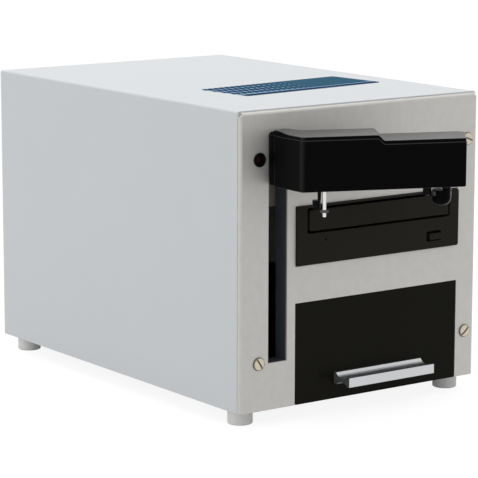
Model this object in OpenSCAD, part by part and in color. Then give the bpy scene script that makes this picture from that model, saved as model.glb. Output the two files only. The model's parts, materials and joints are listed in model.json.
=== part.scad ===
// Desktop disc station: a cabinet with an optical drive, a disc drawer below it,
// and a lifting arm whose gripper carries discs between the open tray and the open drawer.
// Frame: +X right, +Y to the back, +Z up. The origin is on the surface that the feet stand on,
// under the middle of the part's box. Every piece is drawn in the cabinet's own frame first:
// X from the cabinet's middle, Y back from the front face, Z up from the cabinet's underside.

/* [Cabinet] */
// Width of the cabinet
cab_w = 215; // [210:1:240]
// Depth of the cabinet, front face to back lip
cab_d = 323; // [300:1:360]
// Height of the cabinet without its feet
cab_h = 212.5; // [210:0.5:240]
// Thickness of the painted sheet
sheet_t = 1.2; // [1:0.1:1.5]
// Thickness of the front panel's sheet
panel_t = 1.5; // [1.2:0.1:2]
// Outer radius of the front panel's bends
bend_r = 2.5; // [2:0.1:3]
// Depth of the front panel's returns
return_d = 14; // [10:0.5:16]
// Gap between the front panel's bend and the cover's edge
seam = 0.5; // [0.2:0.1:1]
// Height of the cover's edge above the front panel's bend
panel_drop = 1; // [0.3:0.1:1]
// Inner radius of the cover's two long bends
cover_r = 0.4; // [0.3:0.1:1]
// Width of the cover's folded lip at the back
lip_w = 10; // [9:0.5:12]
// Height of the base tray's folded sides
tray_side_h = 12; // [8:1:20]

/* [Feet] */
// Diameter of a foot
foot_d = 18; // [12:0.5:20]
// Height of a foot
foot_h = 11; // [6:0.5:14]
// Distance of a foot's middle from the cabinet's side
foot_in_x = 12.8; // [12:0.2:20]
// Distance of a foot's middle from the cabinet's front and back
foot_in_y = 17; // [12:0.5:30]

/* [Front fittings] */
// Distance of the right slotted screws from the cabinet's right side
screw_in_right = 9.3; // [8:0.1:11]
// Distance of the left slotted screw and of the lamp from the cabinet's left side
screw_in_left = 16.5; // [12:0.1:17.5]
// Height of the lower slotted screws
screw_low_z = 34.2; // [20:0.2:60]
// Distance of the upper slotted screw and of the lamp below the cabinet's top
screw_drop = 34.3; // [24:0.1:48]
// Diameter of a slotted screw's head
screw_head_d = 9.6; // [7:0.1:11]
// Height of a slotted screw's head
screw_head_h = 2; // [1.5:0.1:2.2]
// Diameter of the slotted screw's shank
screw_d = 4; // [3:0.5:5]
// Diameter of the lamp's bezel
lamp_d = 10; // [9:0.2:11]

/* [Arm slot] */
// Distance of the slot's middle from the cabinet's left side
slot_in = 32.8; // [31:0.1:35]
// Width of the slot
slot_w = 16.3; // [14:0.1:18]
// Gap between the slot's lower end and the arm's neck, arm down
slot_slack = 3.2; // [1:0.2:6]
// Height of the slot's upper end above the arm's top, arm up
slot_over = -2; // [-3:0.2:4]
// Gap between the slot's sides and the arm's neck
neck_gap = 3.5; // [1:0.1:4]
// Wall of the slot's liner
liner_t = 2; // [1.5:0.1:2.5]
// Depth of the slot's liner
liner_d = 12; // [8:0.5:12]

/* [Disc path] */
// Gap between the slot and the fronts of the drive and the drawer
bay_gap = 7.75; // [7:0.05:10]
// Distance of the gripper in front of the panel
pick_y = 68.5; // [64:0.5:74]
// Radius of the largest disc
disc_r = 60; // [58:0.5:62]

/* [Lifting arm] */
// Distance of the arm's top below the cabinet's top, arm up
arm_drop = 14.5; // [12:0.5:18]
// Height of the arm at its left end
arm_h = 37.7; // [32:0.1:38]
// How much lower the arm's right end is
arm_step = 4; // [2:0.5:6]
// Where the slanted step starts, along the front face
arm_step_at = 53.2; // [45:0.2:60]
// Length of the slanted step
arm_step_len = 5.5; // [4:0.5:10]
// Slant of the step's line across the arm
arm_step_slant = 12; // [0:1:20]
// Angle of the arm's front face to the panel
arm_angle = 21.7; // [18:0.1:24]
// Distance of the arm's left face from the slot's middle
arm_over = 11.6; // [11:0.1:14]
// Distance of the arm's front left edge from the panel
arm_front_y = 42.5; // [40:0.5:46]
// How far the arm's front face runs on past the gripper
arm_end = 14.6; // [12:0.2:20]
// Width of the arm's bar
arm_w = 37; // [34:0.5:40]
// Angle of the arm's end face to the panel
arm_end_angle = 50.8; // [45:0.2:60]
// Gap between the arm's neck cover and the panel
arm_gap = 2.5; // [2.5:0.1:4]
// Wall of the arm's shell
arm_wall = 2.2; // [1.8:0.1:2.6]
// Floor of the arm's shell
arm_floor = 2.5; // [2:0.1:3]
// Thickness of the arm's lid
lid_t = 2.2; // [1.8:0.1:3]
// Radius of the low crown on the lid, over the neck
crown_r = 16; // [10:0.5:18]
// Height of the low crown
crown_h = 2.2; // [1:0.1:3]

/* [Gripper] */
// Diameter of the gripper's hub
hub_d = 13.4; // [13:0.1:14]
// Length of the gripper's hub with its nose
hub_len = 14; // [14:0.5:17]
// Length of the hub's rounded nose
nose_len = 5.5; // [4:0.5:7]
// Height of the neck that the hub hangs on
hub_neck = 3.3; // [1.5:0.1:6]
// Height of a jaw
jaw_h = 3; // [2:0.5:4]
// Width of a jaw
jaw_w = 2.7; // [2:0.1:3]
// Diameter of the disc sensor's post
sensor_d = 6; // [4:0.2:7]
// Length of the disc sensor's post below the arm
sensor_len = 7.5; // [3:0.5:9]
// Distance of the disc sensor from the gripper, along the arm
sensor_off = 10.6; // [10:0.2:13]
// Diameter of the guide pin
pin_d = 2.6; // [2:0.1:4]
// Length of the guide pin below the arm
pin_len = 19.5; // [18:0.5:24]
// Distance of the guide pin from the gripper, along the arm
pin_off = 84.3; // [80:0.1:89]

/* [Lift] */
// Travel of the arm
lift_travel = 126; // [100:1:126]
// Gap between the lift and the base tray's folded side
lift_gap = 0.9; // [0.4:0.1:1.4]
// Middle of the lead screw, behind the front face
lift_y = 42; // [40:0.5:50]
// Diameter of the lead screw
lead_d = 8; // [6:0.5:10]
// Diameter of a guide rod
rod_d = 8; // [5:0.5:8]
// Half the distance between the guide rods
rod_off = 13; // [12:0.2:13.4]
// Width of the lift's motor
motor_w = 42; // [35:0.5:42]
// Height of the lift's motor
motor_h = 28; // [20:0.5:29]
// Thickness of the lift's bracket
bracket_t = 2; // [1.5:0.1:2.2]
// Width of a limit switch
switch_w = 8; // [6:0.5:10]
// Depth of a limit switch
switch_d = 9; // [6:0.5:10]
// Height of a limit switch
switch_h = 14; // [10:0.5:18]

/* [Drive] */
// Height of the drive bezel's lower edge
bezel_z = 100.2; // [92:0.2:104]
// How far the bezel runs past the case on each side
bezel_over = 1; // [0:0.1:2]
// How far the bezel runs past the case above and below
bezel_rise = 0.35; // [0:0.05:1]
// How far the bezel stands in front of the panel
bezel_proud = 2; // [1:0.1:3]
// Thickness of the bezel
bezel_t = 5; // [4:0.5:8]
// Width of the drive's case
case_w = 146; // [142:0.5:148]
// Height of the drive's case
case_h = 41.3; // [40:0.1:41.8]
// Depth of the drive's case
case_d = 165; // [160:1:190]
// How far the tray's door runs past the tray on each side
door_over = 1.5; // [1:0.1:4]
// Height of the tray's door
door_h = 17.4; // [14:0.2:18.6]
// Height of the door's lower edge above the bezel's
door_z = 22.8; // [20:0.2:23.4]
// Rim of the tray beside the disc
tray_rim = 3.5; // [2:0.1:5]
// Thickness of the disc tray
tray_t = 5; // [4.5:0.1:5.5]
// Depth of the tray's disc recess
recess_d = 3; // [2:0.2:3.4]
// Distance of the disc's middle behind the front face, tray shut
tray_disc_y = 72.5; // [68:0.5:78]

/* [Drawer] */
// Width of the drawer's front
drawer_w = 148; // [144:0.5:150]
// Height of the drawer's front
drawer_h = 73; // [66:0.5:90]
// Thickness of the drawer's front
drawer_t = 4; // [3:0.5:6]
// How far the bin lies inside the drawer's front on each side
bin_side = 3.5; // [3.2:0.1:6]
// Length of the drawer's bin
bin_len = 146; // [136:1:180]
// Height of the bin's walls above the cabinet's underside
bin_h = 28; // [20:1:30]
// Wall of the bin
bin_t = 2; // [1.5:0.1:2.5]
// Height of the bin's floor above the cabinet's underside
bin_z = 4; // [3:0.5:5]
// Distance of the stack's middle behind the front face, drawer shut
bin_disc_y = 70.5; // [69:0.5:78]
// Height of the disc posts' tops
post_h = 62; // [40:1:90]
// Diameter of a disc post
post_d = 6; // [5:0.5:7]
// Length of the drawer's slides
slide_len = 230; // [200:1:240]

/* [Handle] */
// Length of the handle
handle_len = 79; // [60:1:100]
// Reach of the handle
handle_reach = 17.7; // [15:0.1:20]
// Height of the handle's back flange
handle_h = 8.3; // [8:0.1:10]
// Height of the handle's lower edge
handle_z = 11.2; // [7:0.2:12]
// How much lower the front lip's top is
handle_drop = 1.5; // [0.5:0.1:2]

/* [Top label] */
// Width of the label
label_w = 135; // [100:1:150]
// Length of the label, front to back
label_len = 52; // [40:1:70]
// Distance of the label behind the front face
label_y = 78; // [60:1:100]
// Middle of the label, right of the cabinet's middle
label_x = 15; // [0:0.5:20]
// Turn of the label, seen from above
label_turn = 6; // [-10:0.5:10]

/* [Back] */
// Rim of the fan's frame beside its opening
fan_rim = 2; // [1.5:0.1:4]
// Width of the fan's frame
fan_w = 80; // [60:0.5:84]
// Depth of the fan's frame
fan_depth = 20; // [15:1:25]
// Distance of the fan's middle from the cabinet's left side
fan_in = 57.5; // [55:0.5:70]
// Distance of the fan's middle below the cabinet's top
fan_drop = 62.5; // [55:0.5:82]
// Distance of the mains inlet's middle from the cabinet's right side
inlet_in = 31.5; // [29:0.5:36]
// Height of the mains inlet's middle
inlet_z = 42; // [30:1:60]

/* [Electronics] */
// Width of the control board
board_w = 80; // [70:1:90]
// Depth of the control board
board_d = 110; // [96:1:120]
// Distance of the control board from the cabinet's right side
board_in = 23.5; // [20:0.5:28]
// Distance of the control board from the back panel
board_back = 10; // [8:0.5:12]
// Width of the power supply
psu_w = 100; // [96:1:105]
// Depth and height of the power supply
psu_h = 58; // [52:1:70]
// Distance of the power supply's left side from the middle of the drawer
psu_left = 60; // [56:1:62]
// Gap between the power supply and the back panel
psu_back = 6.6; // [4:0.2:10]

/* [Hidden] */
$fn = 48;
eps = 0.5;
fit = 0.02;
run = 0.05;
slip = 0.3;
// Cabinet
joggle = sheet_t + 0.1;
in_w = cab_w - 2 * (sheet_t + 0.2);
rear_y = cab_d - 2 * sheet_t;
lip_y = cab_d - sheet_t;
deck_z = sheet_t;
pan_r = 1.5;
pan_head_r = 3.2;
pan_head_h = 1.8;
pan_len = 6;
stub_r = 2.5;
bezel_w = case_w + 2 * bezel_over;
bezel_h = case_h + 2 * bezel_rise;
screw_high_z = cab_h - screw_drop;
fan_z = cab_h - fan_drop;
slot_x = cab_w / 2 - slot_in;
bay_x = slot_w / 2 - slot_x + bay_gap + max(bezel_w, drawer_w) / 2;
// Arm outline in plan, seen from above and counted anticlockwise
bar_dir = [cos(arm_angle), -sin(arm_angle)];
end_dir = [cos(arm_end_angle), sin(arm_end_angle)];
bar_front_left = [-slot_x - arm_over, -arm_front_y];
hub_xy = [bay_x, -pick_y];
arm_len = (hub_xy - bar_front_left) * bar_dir + arm_end;
bar_front_right = bar_front_left + arm_len * bar_dir;
bar_back_right = bar_front_right + arm_w / sin(arm_angle + arm_end_angle) * end_dir;
bar_back_left = bar_front_left + [0, arm_w / cos(arm_angle)];
bar_points = [bar_front_left, bar_front_right, bar_back_right, bar_back_left];
bar_radii = [2, 2, 6, 1];
neck_half = slot_w / 2 - neck_gap;
neck_wall = arm_wall + 0.8;
neck_cover_x = [-slot_x - neck_half - neck_wall, neck_half + neck_wall - slot_x];
neck_points = [
    [neck_cover_x[0], -arm_front_y / 2], [neck_cover_x[1], -arm_front_y / 2],
    [neck_cover_x[1], -arm_gap], [neck_cover_x[0], -arm_gap]
];
neck_radii = [0, 0, 3, 3];
arm_top = cab_h - arm_drop;
arm_z = arm_top - arm_h;
arm_reach = -min([for (p = rounded(bar_points, bar_radii, 0)) p[1]]);
front_y = (arm_reach - cab_d - pan_head_h) / 2;
sensor_xy = hub_xy - sensor_off * bar_dir;
pin_xy = hub_xy - pin_off * bar_dir;
post_xy = pin_xy + [0.1, 5.8];
crown_xy = bar_back_left + [6.3, -5.3];
neck_low = arm_z + arm_floor;
neck_front = -arm_gap - 9;
slot_low_z = neck_low - lift_travel - slot_slack;
slot_high_z = arm_top + slot_over;
neck_high = min(arm_top - lid_t - 0.3, slot_high_z - 1.2);
sensor_flange = sensor_d / 2 + 0.7;
hub_r = hub_d / 2;
jaw_r = hub_r + 0.3;
plunger_r = 0.9;
jaw_top = arm_z - hub_neck - 0.8;
jaw_bottom = jaw_top - jaw_h;
// Lift
carriage_front = panel_t + liner_d + 1;
plate_t = 2;
block_front = carriage_front + plate_t;
block_back = lift_y + 10;
block_z = arm_z - 1.5;
block_top = arm_top + 0.5;
rod_y_at = lift_y - 8;
bush_r = rod_d / 2 + 2;
lift_half = rod_off + bush_r + 2;
lift_x = in_w / 2 - sheet_t - lift_gap - max(lift_half, motor_w / 2);
nut_r = lead_d / 2 + 2.5;
bearing_r = lead_d / 2 + 4;
bracket_low = deck_z + motor_h;
bracket_high = block_top + 4.5;
bracket_back = lift_y + max(motor_w / 2, 21) + 1;
pilot_r = 11;
// Drive
bezel_mid = bezel_z + bezel_h / 2;
case_low = bezel_mid - case_h / 2;
case_high = case_low + case_h;
case_t = 1;
case_front = bezel_t - bezel_proud;
door_low = bezel_z + door_z;
tray_low = door_low + 3.5;
tray_high = tray_low + tray_t;
door_back = 0.8;
tray_back = case_front + case_d - 8;
tray_w = 2 * (disc_r + tray_rim);
door_w = tray_w + 2 * door_over;
deck_top = case_low + 11;
deck_half = case_w / 2 - 3;
table_r = 14;
sled_y = tray_disc_y + 31.5;
sled_half = [20, 12];
sled_rod_r = 1.5;
sled_rod_x = 16;
sled_travel = 33;
button = [13.2, 6.9];
button_at = [50.6, 9.2];
// Drawer
bin_w = drawer_w - 2 * bin_side;
slide_t = 3.4;
slide_z = [bin_z + 3, bin_z + 8];
runner_t = 1.2;
stack_r = disc_r + 4;
cage_t = 1.6;
cage_half = bin_w / 2 + slide_t + slip + runner_t + 1;
// Back
guard_wire = sheet_t;
fan_d = fan_w - 2 * fan_rim;
fan_x = cab_w / 2 - fan_in;
inlet_x = cab_w / 2 - inlet_in;
inlet_body = [27.4, 47];
board_z = case_low + 5;

function arc(c, r, a0, a1, n = 8) =
    [for (i = [0:n]) c + r * [cos(a0 + (a1 - a0) * i / n), sin(a0 + (a1 - a0) * i / n)]];
function unit(v) = v / norm(v);
function inward(a, b) = let (d = unit(b - a)) [-d[1], d[0]];
// One corner of a convex outline, moved in by inset and rounded by what is left of its radius
function corner(p, q, s, r, inset) =
    let (
        n1 = inward(p, q), n2 = inward(q, s),
        c = q + (n1 + n2) / (1 + n1 * n2) * max(r, inset),
        a0 = atan2(-n1[1], -n1[0]), a1 = atan2(-n2[1], -n2[0])
    )
    r > inset ? arc(c, r - inset, a0, a1 < a0 ? a1 + 360 : a1, 6) : [c];
function rounded(points, radii, inset) =
    let (n = len(points))
    [for (i = [0:n - 1]) each
        corner(points[(i + n - 1) % n], points[i], points[(i + 1) % n], radii[i], inset)];

module in_cabinet() { translate([0, front_y, foot_h]) children(); }
module box(low, high) { translate(low) cube(high - low); }
module rod_z(p, r, h) { translate(p) cylinder(r = r, h = h); }
module rod_y(p, r, h) { translate(p) rotate([-90, 0, 0]) cylinder(r = r, h = h); }
module rod_x(p, r, h) { translate(p) rotate([0, 90, 0]) cylinder(r = r, h = h); }
module rounded_rect(w, h, r) {
    square([w - 2 * r, h], center = true);
    square([w, h - 2 * r], center = true);
    for (x = [-1, 1], y = [-1, 1]) translate([x * (w / 2 - r), y * (h / 2 - r)]) circle(r);
}
// An upright plate with round corners, centred on p in X and Z, that runs back from p by t
module plate_y(p, w, h, r, t) {
    translate(p + [0, t, 0]) rotate([90, 0, 0]) linear_extrude(t) rounded_rect(w, h, r);
}
// A profile drawn in Y and Z, extruded along X over a width about x
module along_x(x, w) {
    translate([x - w / 2, 0, 0]) rotate([90, 0, 90]) linear_extrude(w) children();
}
// A profile drawn in X and Z, extruded back along Y
module along_y(y, d) { translate([0, y + d, 0]) rotate([90, 0, 0]) linear_extrude(d) children(); }
module pan_screw(r, len, head_r, head_h) {
    cylinder(r = head_r, h = head_h);
    translate([0, 0, -len]) cylinder(r = r, h = len + eps);
}

// Where the pan-head screws sit at the back: on the cover's lip and at the fan's corners
lip_mid = cab_w / 2 - sheet_t - lip_w / 2;
lip_top = cab_h - sheet_t - lip_w / 2;
lip_screws = concat(
    [for (s = [-1, 1], z = [30, cab_h / 2, cab_h - 32]) [s * lip_mid, z]],
    [for (s = [-1, 1]) [s * cab_w / 4, lip_top]]
);
fan_hole = fan_w / 2 - 4.25;
fan_screws = [for (x = [-1, 1], z = [-1, 1]) [-fan_x + x * fan_hole, fan_z + z * fan_hole]];
foot_spots = [
    for (x = [-1, 1], y = [foot_in_y, cab_d - foot_in_y]) [x * (cab_w / 2 - foot_in_x), y]
];
left_x = screw_in_left - cab_w / 2;
right_x = cab_w / 2 - screw_in_right;
front_spots = [[left_x, screw_low_z], [right_x, screw_low_z], [right_x, screw_high_z]];
lamp_spot = [left_x, screw_high_z];

// Cabinet

module base_tray() {
    color("lightgray") in_cabinet() difference() {
        union() {
            box([-in_w / 2, return_d + 1, 0], [in_w / 2, rear_y, sheet_t]);
            box([-cab_w / 2 + 3, panel_t, 0], [cab_w / 2 - 3, return_d + 1 + eps, sheet_t]);
            for (s = [0, 1]) mirror([s, 0, 0])
                box([in_w / 2 - sheet_t, return_d + 1, 0], [in_w / 2, rear_y, tray_side_h]);
            box([-cab_w / 2 + 3, panel_t, 0], [cab_w / 2 - 3, panel_t + sheet_t, tray_side_h]);
        }
        box([bay_x - drawer_w / 2 - 2, panel_t - eps, -eps],
            [bay_x + drawer_w / 2 + 2, drawer_t + 1, tray_side_h + eps]);
        for (p = foot_spots) rod_z([p[0], p[1], -eps], stub_r + fit, sheet_t + 2 * eps);
    }
}

module u_section(w, h, r) {
    translate([-w / 2, 0]) square([w, h - r]);
    translate([-w / 2 + r, 0]) square([w - 2 * r, h]);
    for (s = [-1, 1]) translate([s * (w / 2 - r), h - r]) circle(r);
}

module cover() {
    cover_front = bend_r + seam;
    color("gainsboro") in_cabinet() difference() {
        along_y(cover_front, cab_d - cover_front) u_section(cab_w, cab_h, cover_r + sheet_t);
        along_y(cover_front - eps, cab_d - cover_front - sheet_t + eps) translate([0, -eps])
            u_section(cab_w - 2 * sheet_t, cab_h - sheet_t + eps, cover_r);
        box([-lip_mid + lip_w / 2, lip_y - eps, -eps],
            [lip_mid - lip_w / 2, cab_d + eps, lip_top - lip_w / 2]);
        for (p = lip_screws) rod_y([p[0], lip_y - eps, p[1]], pan_r + run, sheet_t + 2 * eps);
    }
}

module panel_plan() {
    polygon(concat(
        arc([cab_w / 2 - bend_r, bend_r], bend_r, -90, 0),
        [[cab_w / 2 - joggle, bend_r], [cab_w / 2 - joggle, return_d]],
        [[joggle - cab_w / 2, return_d], [joggle - cab_w / 2, bend_r]],
        arc([bend_r - cab_w / 2, bend_r], bend_r, 180, 270)
    ));
}

module panel_side() {
    polygon(concat(
        [[0, 0], [return_d, 0], [return_d, cab_h - joggle], [bend_r, cab_h - joggle]],
        arc([bend_r, cab_h - panel_drop - bend_r], bend_r, 90, 180)
    ));
}

module front_panel() {
    inner_x = cab_w / 2 - joggle - panel_t;
    window = 0.5;
    relief_r = 1.6;
    relief_in = 0.9;
    color("silver") in_cabinet() difference() {
        intersection() {
            linear_extrude(cab_h) panel_plan();
            along_x(0, cab_w) panel_side();
        }
        box([-inner_x, panel_t, -eps], [inner_x, return_d + eps, cab_h - joggle - panel_t]);
        box([-slot_x - slot_w / 2, -eps, slot_low_z], [slot_w / 2 - slot_x, panel_t + eps, slot_high_z]);
        box([bay_x - bezel_w / 2 - window, -eps, bezel_z - window],
            [bay_x + bezel_w / 2 + window, panel_t + eps, bezel_z + bezel_h + window]);
        box([bay_x - drawer_w / 2 - window, -eps, -eps],
            [bay_x + drawer_w / 2 + window, panel_t + eps, drawer_h + window]);
        for (p = front_spots) rod_y([p[0], -eps, p[1]], screw_d / 2 + run, panel_t + 2 * eps);
        rod_y([lamp_spot[0], -eps, lamp_spot[1]], lamp_d / 2 - 1 + run, panel_t + 2 * eps);
        for (s = [-1, 1])
            rod_y([s * (cab_w / 2 - relief_in), -eps, cab_h - panel_drop - relief_in],
                relief_r, bend_r + 2 * eps);
    }
}

module rear_panel() {
    vent = [3, 34];
    vent_step = 7;
    color("lightgray") in_cabinet() difference() {
        box([-in_w / 2, rear_y, 0], [in_w / 2, lip_y, cab_h - sheet_t - 0.2]);
        rod_y([-fan_x, rear_y - eps, fan_z], fan_d / 2, sheet_t + 2 * eps);
        box([inlet_x - inlet_body[0] / 2 - slip, rear_y - eps, inlet_z - inlet_body[1] / 2 - slip],
            [inlet_x + inlet_body[0] / 2 + slip, lip_y + eps, inlet_z + inlet_body[1] / 2 + slip]);
        usb_cut();
        for (p = concat(lip_screws, fan_screws))
            rod_y([p[0], rear_y - eps, p[1]], pan_r + run, sheet_t + 2 * eps);
        for (i = [0:7]) plate_y([cab_w / 2 - 33.5 - i * vent_step, rear_y - eps, fan_z + 12],
            vent[0], vent[1], 1.4, sheet_t + 2 * eps);
    }
}

module feet() {
    bevel = 1;
    foot_r = foot_d / 2;
    color("gainsboro") in_cabinet() for (p = foot_spots) translate([p[0], p[1], -foot_h])
        rotate_extrude() polygon(concat(
            [[0, 0], [foot_r - bevel, 0]], arc([foot_r - bevel, bevel], bevel, -90, 0, 4),
            [[foot_r, foot_h], [stub_r, foot_h], [stub_r, foot_h + sheet_t], [0, foot_h + sheet_t]]
        ));
}

module case_screws() {
    color("dimgray") in_cabinet() {
        for (p = lip_screws) translate([p[0], cab_d, p[1]]) rotate([-90, 0, 0])
            pan_screw(pan_r, pan_len, pan_head_r, pan_head_h);
        for (p = fan_screws) translate([p[0], lip_y + guard_wire, p[1]]) rotate([-90, 0, 0])
            pan_screw(pan_r, pan_len, pan_head_r, pan_head_h);
    }
}

module front_screws() {
    nut_h = 3;
    slot = [1.4, 1];
    turn = [58, -40, 20];
    rim = 0.5;
    shank = panel_t + nut_h + 2;
    head_r = screw_head_d / 2;
    dome = [for (a = [0:15:90]) [head_r * cos(a), rim + (screw_head_h - rim) * sin(a)]];
    color("goldenrod") in_cabinet() for (i = [0:2])
        translate([front_spots[i][0], 0, front_spots[i][1]]) {
            difference() {
                union() {
                    rotate([90, 0, 0]) rotate_extrude() polygon(concat([[0, 0], [head_r, 0]], dome));
                    rod_y([0, -eps, 0], screw_d / 2, shank + eps);
                }
                rotate([0, turn[i], 0]) box(
                    [-screw_head_d, -screw_head_h - eps, -slot[0] / 2],
                    [screw_head_d, -screw_head_h + slot[1], slot[0] / 2]);
            }
            difference() {
                translate([0, panel_t, 0]) rotate([-90, 0, 0]) cylinder(r = screw_d, h = nut_h, $fn = 6);
                rod_y([0, panel_t - eps, 0], screw_d / 2 + fit, nut_h + 2 * eps);
            }
        }
}

module lamp_bezel() {
    flange = 1.4;
    barrel = 9;
    color("black") in_cabinet() translate([lamp_spot[0], 0, lamp_spot[1]]) difference() {
        union() {
            rod_y([0, -flange, 0], lamp_d / 2, flange);
            rod_y([0, -eps, 0], lamp_d / 2 - 1, barrel + eps);
        }
        rod_y([0, -flange - eps, 0], lamp_d / 2 - 2, 4 + flange + eps);
    }
}

module lamp_lens() {
    lens_r = lamp_d / 2 - 2 - fit;
    dome = 1;
    color("darkred") in_cabinet() translate([lamp_spot[0], 4, lamp_spot[1]]) rotate([90, 0, 0])
        rotate_extrude() polygon([
            [0, 0], [lens_r, 0], [lens_r, 4], [lens_r * 0.7, 4 + dome * 0.7], [0, 4 + dome]
        ]);
}

module top_label() {
    film_t = 0.3;
    color("steelblue") in_cabinet() translate([label_x, label_y + label_len / 2, cab_h])
        rotate([0, 0, label_turn]) linear_extrude(film_t) rounded_rect(label_w, label_len, 2);
}

module slot_liner() {
    low = [-slot_x - slot_w / 2, panel_t, slot_low_z];
    high = [slot_w / 2 - slot_x, panel_t + liner_d, slot_high_z];
    wall = [liner_t, 0, liner_t];
    through = [0, eps, 0];
    color("dimgray") in_cabinet() difference() {
        box(low - wall, high + wall);
        box(low - through, high + through);
    }
}

// Lift

module at_rods() { for (s = [-1, 1]) translate([s * rod_off - lift_x, rod_y_at, 0]) children(); }

module lift_bracket() {
    half = lift_half;
    foot_len = 14;
    color("gray") in_cabinet() difference() {
        union() {
            box([-lift_x - half, bracket_back, deck_z],
                [half - lift_x, bracket_back + bracket_t, bracket_high + bracket_t]);
            for (z = [bracket_low, bracket_high])
                box([-lift_x - half, rod_y_at - bush_r - 2, z],
                    [half - lift_x, bracket_back + eps, z + bracket_t]);
            box([-lift_x - half, bracket_back, deck_z],
                [half - lift_x, bracket_back + bracket_t + foot_len, deck_z + bracket_t]);
        }
        at_rods() rod_z([0, 0, deck_z], rod_d / 2 + fit, cab_h);
        rod_z([-lift_x, lift_y, bracket_low - eps], pilot_r + fit, bracket_t + 2 * eps);
        rod_z([-lift_x, lift_y, bracket_high - eps], bearing_r + fit, bracket_t + 2 * eps);
    }
}

module guide_rods() {
    color("silver") in_cabinet() at_rods()
        rod_z([0, 0, bracket_low], rod_d / 2, bracket_high + bracket_t - bracket_low);
}

module lift_motor() {
    cut = 4;
    color("dimgray") in_cabinet() translate([-lift_x, lift_y, deck_z]) difference() {
        union() {
            linear_extrude(motor_h) polygon([
                for (s = [[1, 1], [-1, 1], [-1, -1], [1, -1]]) each
                    [for (k = s[0] * s[1] > 0 ? [0, 1] : [1, 0])
                        [s[0] * (motor_w / 2 - cut * k), s[1] * (motor_w / 2 - cut * (1 - k))]]
            ]);
            cylinder(r = pilot_r, h = motor_h + bracket_t);
        }
        translate([0, 0, motor_h - 10]) cylinder(r = lead_d / 2 + run, h = 10 + bracket_t + eps);
    }
}

module lead_screw() {
    low = bracket_low - 10;
    color("silver") in_cabinet()
        rod_z([-lift_x, lift_y, low], lead_d / 2, bracket_high + bracket_t + 2 - low);
}

module screw_bearing() {
    flange = 1.5;
    color("silver") in_cabinet() translate([-lift_x, lift_y, bracket_high]) difference() {
        union() {
            cylinder(r = bearing_r, h = bracket_t + flange);
            translate([0, 0, bracket_t]) cylinder(r = bearing_r + 1.5, h = flange);
        }
        translate([0, 0, -eps]) cylinder(r = lead_d / 2 + run, h = bracket_t + flange + 2 * eps);
    }
}

module limit_switches() {
    color("black") in_cabinet()
        for (z = [bracket_low + bracket_t + 4, bracket_high - 4 - switch_h])
            translate([-lift_x - lift_half + 3, bracket_back - switch_d, z])
                cube([switch_w, switch_d, switch_h]);
}

module carriage_plate() {
    below = 18.5;
    half = 13;
    color("rosybrown") in_cabinet() box(
        [-slot_x - half, carriage_front, arm_z - below], [half - slot_x, block_front, block_top]);
}

module carriage_block() {
    half = lift_half;
    color("dimgray") in_cabinet() difference() {
        box([-lift_x - half, block_front, block_z], [half - lift_x, block_back, block_top]);
        at_rods() rod_z([0, 0, block_z - eps], bush_r + fit, block_top - block_z + 2 * eps);
        rod_z([-lift_x, lift_y, block_z - eps], nut_r + fit, block_top - block_z + 2 * eps);
    }
}

module slide_bushes() {
    bush_len = 14;
    color("goldenrod") in_cabinet() at_rods() for (z = [block_z, block_top - bush_len]) difference() {
        rod_z([0, 0, z], bush_r, bush_len);
        rod_z([0, 0, z - eps], rod_d / 2 + run, bush_len + 2 * eps);
    }
}

module lift_nut() {
    sleeve = 20;
    flange = 2.5;
    color("goldenrod") in_cabinet() translate([-lift_x, lift_y, block_top]) difference() {
        union() {
            translate([0, 0, -sleeve]) cylinder(r = nut_r, h = sleeve + eps);
            cylinder(r = nut_r + 2.5, h = flange);
        }
        translate([0, 0, -sleeve - eps]) cylinder(r = lead_d / 2 + run, h = sleeve + flange + 2 * eps);
    }
}

// Arm

module arm_neck() {
    foot = [20, 3];
    color("dimgray") in_cabinet() {
        box([-slot_x - neck_half, neck_front, neck_low], [neck_half - slot_x, carriage_front, neck_high]);
        box([-slot_x - neck_half, neck_front - foot[0], neck_low],
            [neck_half - slot_x, neck_front + eps, neck_low + foot[1]]);
    }
}

module arm_outline(inset) {
    polygon(rounded(bar_points, bar_radii, inset));
    polygon(rounded(neck_points, neck_radii, inset));
}

// The stepped side view of the arm, as a block across it, with its top lowered by drop
module arm_side(drop) {
    spare = 60;
    low_top = arm_top - arm_step - drop;
    left = -arm_step_at - spare;
    right = arm_len - arm_step_at + spare;
    translate(concat(bar_front_left + arm_step_at * bar_dir, 0)) rotate([0, 0, -arm_angle - arm_step_slant])
        along_y(-spare, 3 * spare) polygon([
            [left, 0], [right, 0], [right, low_top], [arm_step_len, low_top],
            [0, arm_top - drop], [left, arm_top - drop]
        ]);
}

module arm_shell() {
    hole = 0.15;
    color("black") in_cabinet() difference() {
        intersection() {
            translate([0, 0, arm_z]) linear_extrude(arm_h) arm_outline(0);
            arm_side(lid_t);
        }
        translate([0, 0, arm_z + arm_floor]) linear_extrude(arm_h) arm_outline(arm_wall);
        box([-slot_x - neck_half - hole, neck_front, neck_low],
            [neck_half - slot_x + hole, eps, neck_high + hole]);
        rod_z([hub_xy[0], hub_xy[1], arm_z - eps], plunger_r + 0.3, arm_floor + 2 * eps);
        rod_z([sensor_xy[0], sensor_xy[1], arm_z - eps], sensor_d / 2 + 0.1, arm_floor + 2 * eps);
        rod_z([pin_xy[0], pin_xy[1], arm_z - eps], pin_d / 2 + fit, arm_floor + 2 * eps);
    }
}

// The low crown over the neck, sunk a little into the lid
module lid_crown() {
    sink = lid_t / 2;
    steps = 8;
    curve = [for (i = [0:steps]) [crown_r * i / steps, crown_h * (1 - pow(i / steps, 2))]];
    translate(concat(crown_xy, arm_top))
        rotate_extrude() polygon(concat([[0, -sink]], curve, [[crown_r, -sink]]));
}

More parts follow.
